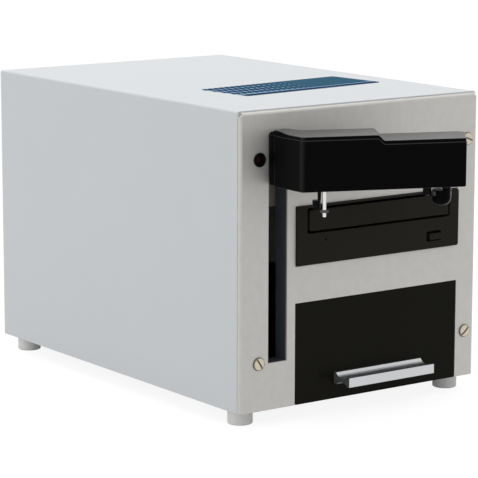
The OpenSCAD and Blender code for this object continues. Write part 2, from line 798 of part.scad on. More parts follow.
module arm_lid() {
    color([0.12, 0.12, 0.13]) in_cabinet() intersection() {
        translate([0, 0, arm_z]) linear_extrude(arm_h + crown_h + eps) arm_outline(0);
        union() {
            difference() {
                arm_side(0);
                arm_side(lid_t);
            }
            lid_crown();
        }
    }
}

module gripper_hub() {
    slack = 0.15;
    bore_r = plunger_r + 0.3;
    neck_side = bore_r + 0.4;
    slot_low = jaw_bottom - arm_z + hub_len - slack;
    room_r = jaw_w / 2 + 5 * slack;
    tip_r = hub_r - 4.2;
    nose = [for (a = [0:15:90]) [tip_r + (hub_r - tip_r) * sin(a), nose_len * (1 - cos(a))]];
    color("black") in_cabinet() translate(concat(hub_xy, arm_z - hub_len)) difference() {
        rotate_extrude() polygon(concat([[bore_r, 0]], nose, [[hub_r, hub_len], [bore_r, hub_len]]));
        rod_z([0, 0, slot_low - 2 * slack], room_r, jaw_h + 5 * slack);
        for (a = [0, 120, 240]) rotate([0, 0, a + 60])
            box([plunger_r, -jaw_w / 2 - slack, slot_low],
                [hub_d, jaw_w / 2 + slack, slot_low + jaw_h + 2 * slack]);
        rotate([0, 0, -arm_angle])
            box([-hub_d, -hub_d, hub_len - hub_neck], [neck_side, hub_d, hub_len + eps]);
    }
}

module gripper_jaw(angle) {
    color("gray") in_cabinet() translate(concat(hub_xy, 0)) intersection() {
        rotate([0, 0, angle]) box([plunger_r + 0.8, -jaw_w / 2, jaw_bottom], [hub_d, jaw_w / 2, jaw_top]);
        rod_z([0, 0, jaw_bottom - eps], jaw_r, jaw_top - jaw_bottom + 2 * eps);
    }
}
module gripper_jaw_1() { gripper_jaw(60); }
module gripper_jaw_2() { gripper_jaw(180); }
module gripper_jaw_3() { gripper_jaw(300); }

module gripper_solenoid() {
    coil = [sensor_off - sensor_flange - 0.4, 18];
    color("darkgoldenrod") in_cabinet() translate(concat(hub_xy, neck_low)) difference() {
        cylinder(r = coil[0], h = coil[1]);
        translate([0, 0, -eps]) cylinder(r = plunger_r + run, h = coil[1] + 2 * eps);
    }
}

module gripper_plunger() {
    below = 8;
    above = 21;
    head = [3.5, 1.5];
    color("silver") in_cabinet() translate(concat(hub_xy, 0)) {
        rod_z([0, 0, arm_z - below], plunger_r, below + arm_floor + above);
        rod_z([0, 0, neck_low + above], head[0], head[1]);
    }
}

module disc_sensor() {
    flange_h = 1.5;
    r = sensor_d / 2;
    top = sensor_len + arm_floor + eps;
    nose = [for (a = [0:15:90]) [r * sin(a), r * (1 - cos(a))]];
    color("black") in_cabinet() translate(concat(sensor_xy, 0)) {
        translate([0, 0, arm_z - sensor_len]) rotate_extrude() polygon(concat(nose, [[r, top], [0, top]]));
        rod_z([0, 0, neck_low], sensor_flange, flange_h);
    }
}

module guide_pin() {
    head = [3, 1.5];
    collar = [3.8, 2.2, 3];
    bevel = 0.6;
    color("silver") in_cabinet() translate(concat(pin_xy, arm_z - pin_len)) {
        cylinder(r1 = pin_d / 2 - bevel, r2 = pin_d / 2, h = bevel);
        rod_z([0, 0, bevel], pin_d / 2, pin_len + arm_floor - bevel);
        rod_z([0, 0, pin_len + arm_floor], head[0], head[1]);
        rod_z([0, 0, collar[2]], collar[0], collar[1]);
    }
}

module finger_post() {
    stem = [1.1, 1.5, 8.3];
    shoe = [2.9, 5.8, 2];
    color("black") in_cabinet() translate(concat(post_xy, arm_z - stem[2])) {
        cylinder(r1 = stem[0], r2 = stem[1], h = stem[2]);
        translate(concat(-shoe[2] * bar_dir, -shoe[1])) cylinder(r = shoe[0], h = shoe[1] + fit);
    }
}

// Drive

module drive_case() {
    wall = [case_t, 0, case_t];
    color("silver") in_cabinet() difference() {
        box([bay_x - case_w / 2, case_front, case_low],
            [bay_x + case_w / 2, case_front + case_d, case_high]);
        box([bay_x - case_w / 2, case_front - eps, case_low] + wall,
            [bay_x + case_w / 2, case_front + case_d - case_t, case_high] - wall);
    }
}

door_mid = [bay_x, door_low + door_h / 2];
button_mid = [bay_x + button_at[0], bezel_z + button_at[1]];
lamp_mid = [bay_x - 30, bezel_z + 10.6];
release_mid = [bay_x - 49, bezel_z + 16.8];

module drive_bezel() {
    gap = 0.6;
    lamp_r = 1.1;
    release_r = 0.8;
    color("black") in_cabinet() difference() {
        plate_y([bay_x, -bezel_proud, bezel_mid], bezel_w, bezel_h, 1.8, bezel_t);
        plate_y([door_mid[0], -bezel_proud - eps, door_mid[1]],
            door_w + 2 * gap, door_h + 2 * gap, 2, bezel_t + 2 * eps);
        plate_y([button_mid[0], -bezel_proud - eps, button_mid[1]],
            button[0] + 0.6, button[1] + 0.6, 1.2, bezel_t + 2 * eps);
        rod_y([lamp_mid[0], -bezel_proud - eps, lamp_mid[1]], lamp_r + run, bezel_t + 2 * eps);
        rod_y([release_mid[0], -bezel_proud - eps, release_mid[1]], release_r, bezel_t + 2 * eps);
    }
}

module drive_deck() {
    wall = 2;
    ledge = 9;
    plate = 2;
    motor_r = 12;
    low = case_low + case_t;
    back = case_front + case_d - case_t - 4;
    front = case_front + 6;
    stop = [5, 3, 9];
    sled_low = sled_y - sled_half[1];
    sled_high = sled_y + sled_half[1];
    color("dimgray") in_cabinet() {
        difference() {
            union() {
                box([bay_x - deck_half, front, deck_top - plate], [bay_x + deck_half, back, deck_top]);
                for (s = [0, 1]) translate([bay_x, 0, 0]) mirror([s, 0, 0]) {
                    box([deck_half - wall, front, low], [deck_half, back, tray_low - slip]);
                    box([deck_half - ledge, front, tray_low - slip - wall],
                        [deck_half, back, tray_low - slip]);
                }
                rod_z([bay_x, tray_disc_y, deck_top - eps], motor_r, 7 + eps);
                for (s = [-1, 1], y = [sled_low - 2 - stop[1], sled_high + sled_travel + 2])
                    translate([bay_x + s * sled_rod_x - stop[0] / 2, y, deck_top - eps])
                        cube(stop + [0, 0, eps]);
            }
            rod_z([bay_x, tray_disc_y, deck_top + 1], sled_rod_r + run, 7);
            for (s = [-1, 1]) sled_rod(s, sled_rod_r + fit);
        }
        for (s = [-1, 1]) sled_rod(s, sled_rod_r);
    }
}

module sled_rod(side, r) {
    start = sled_y - sled_half[1] - 5;
    rod_y([bay_x + side * sled_rod_x, start, deck_top + 5], r, 2 * sled_half[1] + sled_travel + 10);
}

module drive_spindle() {
    cone = [7, 5, 2.5];
    seat = deck_top + 7 + slip;
    color("gray") in_cabinet() translate([bay_x, tray_disc_y, 0]) {
        rod_z([0, 0, deck_top + 1 + slip], sled_rod_r, seat - deck_top);
        rod_z([0, 0, seat], table_r, 2.4);
        translate([0, 0, seat + 2.4]) cylinder(r1 = cone[0], r2 = cone[1], h = cone[2]);
    }
}

module drive_sled() {
    lens_r = 3;
    clear = 1;
    high = 8.5;
    color("black") in_cabinet() difference() {
        union() {
            box([bay_x - sled_half[0], sled_y - sled_half[1], deck_top + clear],
                [bay_x + sled_half[0], sled_y + sled_half[1], deck_top + high]);
            rod_z([bay_x, sled_y - 4, deck_top + clear], lens_r, high);
        }
        for (s = [-1, 1])
            rod_y([bay_x + s * sled_rod_x, sled_y - sled_half[1] - eps, deck_top + 5],
                sled_rod_r + run, 2 * sled_half[1] + 2 * eps);
    }
}

module drive_tray() {
    lip = 0.5;
    window = [46, 62];
    color([0.16, 0.16, 0.16]) in_cabinet() difference() {
        box([bay_x - tray_w / 2, door_back, tray_low], [bay_x + tray_w / 2, tray_back, tray_high]);
        rod_z([bay_x, tray_disc_y, tray_high - recess_d], disc_r + lip, recess_d + eps);
        rod_z([bay_x, tray_disc_y, tray_low - eps], table_r + 4, tray_t + 2 * eps);
        box([bay_x - window[0] / 2, tray_disc_y, tray_low - eps],
            [bay_x + window[0] / 2, tray_disc_y + window[1], tray_high + eps]);
    }
}

module tray_door() {
    face = 0.4;
    color([0.14, 0.14, 0.13]) in_cabinet()
        plate_y([door_mid[0], -bezel_proud - face, door_mid[1]],
            door_w, door_h, 1.8, bezel_proud + face + door_back);
}

module eject_button() {
    proud = 0.9;
    color([0.14, 0.14, 0.13]) in_cabinet()
        plate_y([button_mid[0], -bezel_proud - proud, button_mid[1]],
            button[0], button[1], 1, bezel_t + proud);
}

module drive_lamp() {
    pipe_r = 1.1;
    color("seagreen") in_cabinet()
        rod_y([lamp_mid[0], -bezel_proud - 0.2, lamp_mid[1]], pipe_r, bezel_t + 0.2);
}

module drive_cage() {
    shelf_front = 18;
    leg_front = 95;
    leg_back = 250;
    shelf_back = rear_y - 4;
    narrow = case_w / 2;
    color("lightgray") in_cabinet() translate([bay_x, 0, 0]) {
        box([-narrow, shelf_front, case_low - cage_t], [narrow, shelf_back, case_low]);
        box([-cage_half - cage_t, leg_front, case_low - cage_t], [cage_half + cage_t, leg_back, case_low]);
        for (s = [0, 1]) mirror([s, 0, 0])
            box([cage_half, leg_front, deck_z], [cage_half + cage_t, leg_back, case_low]);
    }
}

// Drawer

bin_floor = bin_z + bin_t;

handle_screw_z = handle_z + (handle_h - handle_drop) / 2 + 0.3;
handle_screw_r = 1.5;
handle_screw_x = handle_len / 2 - 14;

module drawer_front() {
    color([0.1, 0.1, 0.1]) in_cabinet() difference() {
        plate_y([bay_x, 0, drawer_h / 2], drawer_w, drawer_h, 0.8, drawer_t);
        for (s = [-1, 1]) rod_y([bay_x + s * handle_screw_x, -eps, handle_screw_z],
            handle_screw_r + run, drawer_t + 2 * eps);
    }
}

module drawer_bin() {
    color([0.18, 0.18, 0.18]) in_cabinet() translate([bay_x, 0, 0]) difference() {
        box([-bin_w / 2, drawer_t, bin_z], [bin_w / 2, drawer_t + bin_len, bin_h]);
        box([bin_t - bin_w / 2, drawer_t + bin_t, bin_floor],
            [bin_w / 2 - bin_t, drawer_t + bin_len - bin_t, bin_h + eps]);
        for (s = [-1, 1]) rod_y([s * handle_screw_x, drawer_t - eps, handle_screw_z],
            handle_screw_r + run, bin_t + 2 * eps);
    }
}

module disc_posts() {
    color("dimgray") in_cabinet() for (a = [60, 120, 240, 300])
        rod_z([bay_x + stack_r * cos(a), bin_disc_y + stack_r * sin(a), bin_floor],
            post_d / 2, post_h - bin_floor);
}

module drawer_slides() {
    color("silver") in_cabinet() for (s = [0, 1]) translate([bay_x, 0, 0]) mirror([s, 0, 0])
        box([bin_w / 2, drawer_t, slide_z[0]], [bin_w / 2 + slide_t, drawer_t + slide_len, slide_z[1]]);
}

module drawer_runners() {
    wall = bin_w / 2 + slide_t + slip;
    flange = wall - 2.8;
    start = drawer_t + 2;
    end = drawer_t + slide_len + 6;
    low = slide_z[0] - slip;
    high = slide_z[1] + slip;
    color("silver") in_cabinet() for (s = [0, 1]) translate([bay_x, 0, 0]) mirror([s, 0, 0]) {
        box([wall, start, deck_z], [wall + runner_t, end, high + runner_t]);
        box([flange, start, high], [wall + runner_t, end, high + runner_t]);
        box([flange, start, low - runner_t], [wall + runner_t, end, low]);
    }
}

module drawer_handle() {
    groove_r = 8.6;
    groove_mid = -handle_reach / 2 - 0.4;
    web = 2.6;
    web_mid = handle_z + (handle_h - handle_drop) / 2 + 0.3;
    lip_t = 3.4;
    color("silver") in_cabinet() difference() {
        along_x(bay_x, handle_len) difference() {
            translate([-handle_reach, handle_z]) square([handle_reach, handle_h]);
            translate([groove_mid, web_mid + web / 2 + groove_r]) circle(groove_r);
            translate([groove_mid, web_mid - web / 2 - groove_r]) circle(groove_r);
            translate([-handle_reach - eps, handle_z + handle_h - handle_drop])
                square([lip_t + 2, handle_drop + eps]);
        }
        for (s = [-1, 1])
            rod_y([bay_x + s * handle_screw_x, -6, handle_screw_z], handle_screw_r + fit, 6 + eps);
    }
}

module handle_screws() {
    head = [3, 2];
    color("dimgray") in_cabinet() for (s = [-1, 1])
        translate([bay_x + s * handle_screw_x, drawer_t + bin_t, handle_screw_z]) rotate([-90, 0, 0])
            pan_screw(handle_screw_r, drawer_t + bin_t + 5, head[0], head[1]);
}

// Back and electronics

board_x = [cab_w / 2 - board_in - board_w, cab_w / 2 - board_in];
board_y = [rear_y - board_back - board_d, rear_y - board_back];
board_t = 1.6;
standoffs = [for (i = [0, 1], j = [0, 1]) [board_x[i] + 5 - 10 * i, board_y[j] + 5 - 10 * j]];
usb = [12, 16, 11];
usb_mid = (board_x[0] + board_x[1]) / 2;

module control_board() {
    chips = [[20, 30, 22, 22, 3], [52, 34, 14, 20, 3], [12, 70, 30, 10, 9], [54, 72, 18, 14, 14]];
    color("darkgreen") in_cabinet() {
        difference() {
            box([board_x[0], board_y[0], board_z], [board_x[1], board_y[1], board_z + board_t]);
            for (p = standoffs) rod_z([p[0], p[1], board_z - eps], 1.5, board_t + 2 * eps);
        }
        for (c = chips) translate([board_x[0] + c[0], board_y[0] + c[1], board_z + board_t])
            cube([c[2], c[3], c[4]]);
    }
}

module board_standoffs() {
    color("goldenrod") in_cabinet() for (p = standoffs) {
        rod_z([p[0], p[1], case_low], 3, board_z - case_low);
        rod_z([p[0], p[1], board_z - eps], 1.5 - fit, board_t + 1 + eps);
    }
}

usb_low = [usb_mid - usb[0] / 2, lip_y - usb[1], board_z + board_t];

module usb_cut() {
    box(usb_low - [slip, 0, slip], usb_low + usb + [slip, eps, slip]);
}

module usb_port() {
    wall = 1.2;
    tongue = [5.6, 3.2];
    mid = usb_low + [usb[0] / 2, 0, usb[2] / 2];
    color("silver") in_cabinet() {
        difference() {
            box(usb_low, usb_low + usb);
            box(usb_low + [wall, 5, wall], usb_low + usb + [-wall, eps, -wall]);
        }
        box(mid + [-tongue[0] / 2, 5, -tongue[1] / 2], mid + [tongue[0] / 2, usb[1] - 2, tongue[1] / 2]);
    }
}

module power_supply() {
    size = [psu_w, psu_h, psu_h];
    low = [bay_x - psu_left, rear_y - psu_back - psu_h, deck_z];
    wall = 1.2;
    slot = [3, 40];
    color("silver") in_cabinet() translate(low) difference() {
        cube(size);
        translate([wall, wall, wall]) cube(size - 2 * wall * [1, 1, 1]);
        for (i = [0:9]) translate([14 + i * 8, 9, size[2] - wall - eps])
            cube([slot[0], slot[1], wall + 2 * eps]);
    }
}

module fan_frame() {
    color([0.15, 0.15, 0.15]) in_cabinet() difference() {
        plate_y([-fan_x, rear_y - fan_depth, fan_z], fan_w, fan_w, 4, fan_depth);
        difference() {
            rod_y([-fan_x, rear_y - fan_depth - eps, fan_z], fan_d / 2, fan_depth + 2 * eps);
            rod_y([-fan_x, rear_y - fan_depth, fan_z], 15, 3);
            for (a = [45, 135]) translate([-fan_x, rear_y - fan_depth, fan_z]) rotate([0, a, 0])
                box([-fan_w / 2, 0, -2.5], [fan_w / 2, 3, 2.5]);
        }
        rod_y([-fan_x, rear_y - fan_depth - eps, fan_z], 2 + run, 3 + 2 * eps);
        for (p = fan_screws)
            rod_y([p[0], rear_y - fan_depth - eps, p[1]], pan_r + run, fan_depth + 2 * eps);
    }
}

module fan_rotor() {
    blades = 7;
    tip = fan_d / 2 - 1.5;
    hub = 17;
    pitch = 40;
    color([0.22, 0.22, 0.22]) in_cabinet() translate([-fan_x, rear_y - fan_depth + 3 + slip, fan_z]) {
        rod_y([0, 0, 0], hub, fan_depth - 6);
        rod_y([0, -3 - slip, 0], 2, 4);
        intersection() {
            for (i = [0:blades - 1]) rotate([0, i * 360 / blades, 0])
                translate([0, (fan_depth - 6) / 2, 0]) rotate([0, 0, pitch])
                    box([-0.8, -9, hub - 3], [0.8, 9, fan_d / 2]);
            difference() {
                rod_y([0, 0.4, 0], tip, fan_depth - 6.8);
                rod_y([0, 0, 0], hub - 1, fan_depth - 6);
            }
        }
    }
}

module fan_guard() {
    rings = [for (i = [1:4]) i * (fan_d / 2 - 1) / 4];
    bar_w = 2;
    tab_r = 4;
    color("silver") in_cabinet() translate([-fan_x, lip_y, fan_z]) {
        for (r = rings) difference() {
            rod_y([0, guard_wire, 0], r + bar_w / 2, guard_wire);
            rod_y([0, guard_wire - eps, 0], r - bar_w / 2, guard_wire + 2 * eps);
        }
        difference() {
            for (a = [45, 135]) rotate([0, a, 0])
                box([-fan_hole * sqrt(2), 0, -bar_w / 2], [fan_hole * sqrt(2), guard_wire, bar_w / 2]);
            for (x = [-1, 1], z = [-1, 1])
                rod_y([x * fan_hole, -eps, z * fan_hole], tab_r - eps, guard_wire + 2 * eps);
        }
        for (x = [-1, 1], z = [-1, 1]) difference() {
            rod_y([x * fan_hole, 0, z * fan_hole], tab_r, guard_wire);
            rod_y([x * fan_hole, -eps, z * fan_hole], pan_r + run, guard_wire + 2 * eps);
        }
    }
}

inlet_flange = 2;
socket = [24, 16, 15];
socket_z = -11;
rocker_z = 12;
rocker_r = 7.5;
rocker_w = 17;
rocker_y = lip_y + inlet_flange - 4.6;

module power_inlet() {
    depth = 22;
    frame = 3;
    pin = [2, 4, 11];
    color("black") in_cabinet() translate([inlet_x, 0, inlet_z]) {
        difference() {
            union() {
                plate_y([0, lip_y, 0],
                    inlet_body[0] + 2 * frame, inlet_body[1] + 2 * frame, 2, inlet_flange);
                box([-inlet_body[0] / 2, lip_y - depth, -inlet_body[1] / 2],
                    [inlet_body[0] / 2, lip_y + eps, inlet_body[1] / 2]);
            }
            translate([0, lip_y + inlet_flange - socket[2], socket_z])
                plate_y([0, 0, 0], socket[0], socket[1], 3, socket[2] + eps);
            translate([-rocker_w / 2 - 0.3, rocker_y - 6, rocker_z - rocker_r - 0.3])
                cube([rocker_w + 0.6, 20, 2 * rocker_r + 0.6]);
        }
        for (x = [-7, 0, 7])
            translate([x, lip_y + inlet_flange - socket[2] - fit, socket_z + (x == 0 ? 4 : -2)])
                translate([-pin[0] / 2, 0, -pin[1] / 2]) cube([pin[0], pin[2], pin[1]]);
        for (s = [0, 1]) mirror([s, 0, 0])
            rod_x([rocker_w / 2 - 1, rocker_y, rocker_z], 1.2, 1.5);
    }
}

module power_rocker() {
    tilt = 8;
    rise = 4;
    back = 3;
    rim = rise + rocker_r * tan(tilt);
    color([0.2, 0.2, 0.2]) in_cabinet() translate([inlet_x, rocker_y, inlet_z + rocker_z])
        rotate([-tilt, 0, 0]) difference() {
            along_x(0, rocker_w) intersection() {
                circle(rocker_r);
                polygon([
                    [-back, -rocker_r], [rim, -rocker_r], [rise, 0], [rim, rocker_r], [-back, rocker_r]
                ]);
            }
            for (s = [0, 1]) mirror([s, 0, 0]) rod_x([rocker_w / 2 - 1.2, 0, 0], 1.2 + run, 2);
        }
}

base_tray();
cover();
front_panel();
rear_panel();
feet();
case_screws();
front_screws();
lamp_bezel();
lamp_lens();
top_label();
slot_liner();
lift_bracket();
guide_rods();
lift_motor();
lead_screw();
screw_bearing();
limit_switches();
carriage_plate();
carriage_block();
slide_bushes();
lift_nut();
arm_neck();
arm_shell();
arm_lid();
gripper_hub();
gripper_jaw_1();
gripper_jaw_2();
gripper_jaw_3();
gripper_solenoid();
gripper_plunger();
disc_sensor();
guide_pin();
finger_post();
drive_case();
drive_bezel();
drive_deck();
drive_spindle();
drive_sled();
drive_tray();
tray_door();
eject_button();
drive_lamp();
drive_cage();
drawer_front();
drawer_bin();
disc_posts();
drawer_slides();
drawer_runners();
drawer_handle();
handle_screws();
control_board();
board_standoffs();
usb_port();
power_supply();
fan_frame();
fan_rotor();
fan_guard();
power_inlet();
power_rocker();
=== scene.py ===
"""Studio scene of a desktop disc station: finishes, modelled pieces, light and camera."""
import json
import logging
import math
from contextlib import contextmanager
from dataclasses import dataclass, field, replace
from enum import Enum
from typing import Callable, ClassVar, Iterator, Sequence

import bmesh
import bpy
from mathutils import Matrix, Vector

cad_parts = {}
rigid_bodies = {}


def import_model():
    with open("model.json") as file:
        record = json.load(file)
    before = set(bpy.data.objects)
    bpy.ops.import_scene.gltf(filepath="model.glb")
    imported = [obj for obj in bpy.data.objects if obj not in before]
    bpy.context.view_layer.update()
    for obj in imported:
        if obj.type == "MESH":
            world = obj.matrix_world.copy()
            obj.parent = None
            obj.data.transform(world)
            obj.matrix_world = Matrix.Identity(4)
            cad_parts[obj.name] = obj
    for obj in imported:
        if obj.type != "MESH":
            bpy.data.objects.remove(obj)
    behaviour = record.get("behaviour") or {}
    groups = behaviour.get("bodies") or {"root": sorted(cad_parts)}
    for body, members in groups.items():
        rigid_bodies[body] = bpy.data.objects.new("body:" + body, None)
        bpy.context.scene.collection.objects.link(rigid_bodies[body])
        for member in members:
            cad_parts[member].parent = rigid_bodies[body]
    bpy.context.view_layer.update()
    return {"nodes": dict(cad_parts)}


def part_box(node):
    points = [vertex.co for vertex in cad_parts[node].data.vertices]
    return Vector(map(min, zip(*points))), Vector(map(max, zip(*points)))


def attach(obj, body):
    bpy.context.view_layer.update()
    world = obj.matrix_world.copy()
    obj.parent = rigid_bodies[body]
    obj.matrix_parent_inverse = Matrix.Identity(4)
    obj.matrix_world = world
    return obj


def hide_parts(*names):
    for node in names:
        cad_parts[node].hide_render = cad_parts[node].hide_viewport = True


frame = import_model()
MM = 0.001
LOG = logging.getLogger("disc_station")

UP = Vector((0, 0, 1))

Colour = tuple[float, float, float]
Piece = bpy.types.Object
Socket = bpy.types.NodeSocket
Test = Callable[[Vector], bool]


class Slot(Enum):
    """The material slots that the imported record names."""

    COVER = "cover_paint"
    TRAY = "tray_paint"
    FRONT = "front_steel"
    STEEL = "plain_steel"
    GROUND = "ground_steel"
    BRASS = "brass"
    FOOT = "foot_plastic"
    ARM = "arm_plastic"
    BLACK = "black_plastic"
    DRIVE = "drive_plastic"
    DRAWER = "drawer_gloss"
    GREY = "grey_plastic"
    RED = "lamp_red"
    GREEN = "lamp_green"
    LABEL = "label_film"
    ANODISED = "anodised"
    MILLED = "milled"
    CARRIAGE = "carriage_tint"
    BOARD = "board_green"


class Pick(Enum):
    """What a selection in edit mode is made of."""

    VERT = "VERT"
    EDGE = "EDGE"
    FACE = "FACE"


class Tree:
    """A node tree, built one node at a time."""

    def __init__(self, tree: bpy.types.NodeTree) -> None:
        """Empty a tree.

        Args:
            tree: a material's or a world's tree.
        """
        self.tree = tree
        self.tree.nodes.clear()

    def add(self, kind: str, inputs: dict | None = None, **settings: object) -> bpy.types.Node:
        """Add a node.

        Args:
            kind: the node's type name.
            inputs: constants or sockets to link, by socket name or number.
            settings: the node's own properties.

        Returns:
            The new node.
        """
        node = self.tree.nodes.new(kind)
        for key, value in settings.items():
            setattr(node, key, value)
        for key, value in (inputs or {}).items():
            if isinstance(value, Socket):
                self.tree.links.new(value, node.inputs[key])
            else:
                node.inputs[key].default_value = value
        return node


class Graph(Tree):
    """A material's node tree on Object coordinates."""

    octaves: ClassVar[float] = 3.0

    def __init__(self, name: str) -> None:
        """Start a material.

        Args:
            name: the material's name.
        """
        self.material = bpy.data.materials.new(name)
        self.material.use_nodes = True
        super().__init__(self.material.node_tree)
        self.place = self.add("ShaderNodeTexCoord").outputs["Object"]

    def axes(self, place: Socket) -> Sequence[Socket]:
        """The X, Y and Z of a place."""
        return self.add("ShaderNodeSeparateXYZ", {0: place}).outputs

    def noise(self, size: float, stretch: Sequence[float] = (1, 1, 1)) -> Socket:
        """Cloudy grain whose lumps are about one size across.

        Args:
            size: size of a lump in metres.
            stretch: how many times longer a lump is along X, Y and Z.

        Returns:
            The grain's value socket.
        """
        scale = [1.0 / (size * s) for s in stretch]
        mapped = self.add("ShaderNodeMapping", {"Vector": self.place, "Scale": scale})
        inputs = {"Vector": mapped.outputs[0], "Scale": 1.0, "Detail": self.octaves}
        return self.add("ShaderNodeTexNoise", inputs).outputs[0]

    def span(self, value: Socket, low: float, high: float,
             start: float = 0.25, end: float = 0.75) -> Socket:
        """Map a value from start..end to low..high, clamped.

        Args:
            value: the socket to map.
            low: result at start.
            high: result at end.
            start: where the ramp begins.
            end: where the ramp ends.

        Returns:
            The mapped value socket.
        """
        inputs = {"Value": value, "From Min": start, "From Max": end, "To Min": low, "To Max": high}
        return self.add("ShaderNodeMapRange", inputs).outputs[0]

    def blend(self, share: object, first: object, second: object) -> Socket:
        """Blend two colours.

        Args:
            share: how much of the second colour, a socket or a number.
            first: a colour or a colour socket.
            second: a colour or a colour socket.

        Returns:
            The blended colour socket.
        """
        pair = [(*c, 1.0) if isinstance(c, tuple) else c for c in (first, second)]
        return self.add("ShaderNodeMix", {0: share, 6: pair[0], 7: pair[1]}, data_type="RGBA").outputs[2]

    def math(self, operation: str, first: object, second: object) -> Socket:
        """Combine two values with a Math operation."""
        return self.add("ShaderNodeMath", {0: first, 1: second}, operation=operation).outputs[0]

    def squares(self, first: Socket, second: Socket) -> Socket:
        """The sum of two values' squares."""
        return self.math("ADD", *[self.math("MULTIPLY", value, value) for value in (first, second)])

    def bump(self, height: Socket, depth: float) -> Socket:
        """Relief from a height.

        Args:
            height: the height socket.
            depth: depth of the relief in metres.

        Returns:
            The normal socket.
        """
        inputs = {"Height": height, "Distance": depth, "Strength": 1.0}
        return self.add("ShaderNodeBump", inputs).outputs[0]

    def close(self, inputs: dict) -> bpy.types.Material:
        """End the tree in a Principled shader.

        Args:
            inputs: the shader's constants and sockets.

        Returns:
            The finished material.
        """
        shader = self.add("ShaderNodeBsdfPrincipled", inputs)
        self.add("ShaderNodeOutputMaterial", {"Surface": shader.outputs[0]})
        return self.material


@dataclass(frozen=True)
class Finish:
    """A surface finish: its colour and gloss, and the grain and clouding that break them up."""

    name: str
    colour: Colour
    roughness: float
    metallic: float = 0.0
    specular: float = 0.5
    grazing: float | None = None
    grain: float = 0.6 * MM
    stretch: tuple[float, float, float] = (1.0, 1.0, 1.0)
    tone: float = 0.06
    gloss_shift: float = 0.06
    depth: float = 0.01 * MM
    cloud: float = 45.0 * MM
    cloud_tone: float = 0.04

    made: ClassVar[dict[str, bpy.types.Material]] = {}
    cloud_span: ClassVar[tuple[float, float]] = (0.3, 0.7)
    grazing_span: ClassVar[tuple[float, float]] = (0.45, 0.85)

    def material(self) -> bpy.types.Material:
        """Make the finish's material at its first use.

        Returns:
            The material.
        """
        if self.name not in Finish.made:
            Finish.made[self.name] = self.paint(Graph(self.name))
        return Finish.made[self.name]

    def shade(self, share: float) -> Colour:
        """The colour made lighter by a share, or darker by a negative one."""
        return tuple(min(1.0, c * (1.0 + share)) for c in self.colour)

    def tint(self, graph: Graph, grain: Socket) -> Socket:
        """Colour with grain and clouding.

        Args:
            graph: the material's tree.
            grain: the grain's value socket.

        Returns:
            The colour socket.
        """
        fine = graph.blend(graph.span(grain, 0.0, 1.0), self.shade(-self.tone), self.shade(self.tone))
        veil = graph.span(graph.noise(self.cloud), 0.0, 1.0, *self.cloud_span)
        return graph.blend(graph.math("MULTIPLY", veil, 0.5), fine, self.shade(-2 * self.cloud_tone))

    def sheen(self, graph: Graph) -> object:
        """Gloss level, which grows toward the outline where the finish has a grazing level.

        Args:
            graph: the material's tree.

        Returns:
            A number or a value socket.
        """
        if self.grazing is None:
            return self.specular
        facing = graph.add("ShaderNodeLayerWeight", {"Blend": 0.5}).outputs["Facing"]
        return graph.span(facing, self.specular, self.grazing, *self.grazing_span)

    def gloss(self, graph: Graph, grain: Socket) -> Socket:
        """Roughness, which shifts with the grain.

        Args:
            graph: the material's tree.
            grain: the grain's value socket.

        Returns:
            The roughness socket.
        """
        low, high = self.roughness - self.gloss_shift, self.roughness + self.gloss_shift
        return graph.span(grain, low, high)

    def metal(self, graph: Graph) -> object:
        """How metallic the finish is, a number or a value socket."""
        return self.metallic

    def paint(self, graph: Graph) -> bpy.types.Material:
        """Build the finish.

        Args:
            graph: an empty tree.

        Returns:
            The material.
        """
        grain = graph.noise(self.grain, self.stretch)
        return graph.close({
            "Base Color": self.tint(graph, grain),
            "Roughness": self.gloss(graph, grain),
            "Metallic": self.metal(graph),
            "Specular IOR Level": self.sheen(graph),
            "Normal": graph.bump(grain, self.depth),
        })


@dataclass(frozen=True)
class LabelFilm(Finish):
    """Printed film: pale dots that shrink from dark blue into steel blue, and a line along the front."""

    ink: Colour = (0.003, 0.035, 0.11)
    pale: Colour = (0.36, 0.55, 0.72)
    width: float = 135.0 * MM
    length: float = 52.0 * MM
    turn: float = 6.0
    pitch: tuple[float, float] = (5.4 * MM, 10.4 * MM)
    ink_share: float = 0.1
    dot_share: float = 0.6
    dot_radius: float = 0.3
    line_at: float = 7.5 * MM
    line_w: float = 1.8 * MM

    def paint(self, graph: Graph) -> bpy.types.Material:
        """Build the print on the label's own place.

        Args:
            graph: an empty tree.

        Returns:
            The material.
        """
        middle = sum(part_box("top_label"), Vector()) / 2
        angle = math.radians(-self.turn)
        shift = -(Matrix.Rotation(angle, 3, "Z") @ middle)
        inputs = {"Vector": graph.place, "Location": shift, "Rotation": (0.0, 0.0, angle)}
        parts = graph.axes(graph.add("ShaderNodeMapping", inputs).outputs[0])
        across = graph.span(parts[0], 0.0, 1.0, -self.width / 2, self.width / 2)
        grain = graph.noise(self.grain)
        inked = graph.span(across, 1.0, 0.0, self.ink_share, self.dot_share)
        ground = graph.blend(inked, self.tint(graph, grain), self.ink)
        cells = [graph.math("DIVIDE", part, pitch) for part, pitch in zip(parts, self.pitch)]
        offs = [graph.math("SUBTRACT", graph.math("FRACT", cell, 0.0), 0.5) for cell in cells]
        limit = graph.span(across, self.dot_radius ** 2, 0.0, 0.0, self.dot_share)
        dot = graph.math("LESS_THAN", graph.squares(*offs), limit)
        dotted = graph.blend(dot, ground, self.pale)
        deep = graph.math("ADD", parts[1], self.length / 2)
        footed = graph.blend(graph.math("LESS_THAN", deep, self.line_at), dotted, self.ink)
        off_line = graph.math("ABSOLUTE", graph.math("SUBTRACT", deep, self.line_at), 0.0)
        lined = graph.math("LESS_THAN", off_line, self.line_w / 2)
        return graph.close({
            "Base Color": graph.blend(lined, footed, self.pale),
            "Roughness": self.gloss(graph, grain),
            "Specular IOR Level": self.specular,
            "Normal": graph.bump(grain, self.depth),
        })


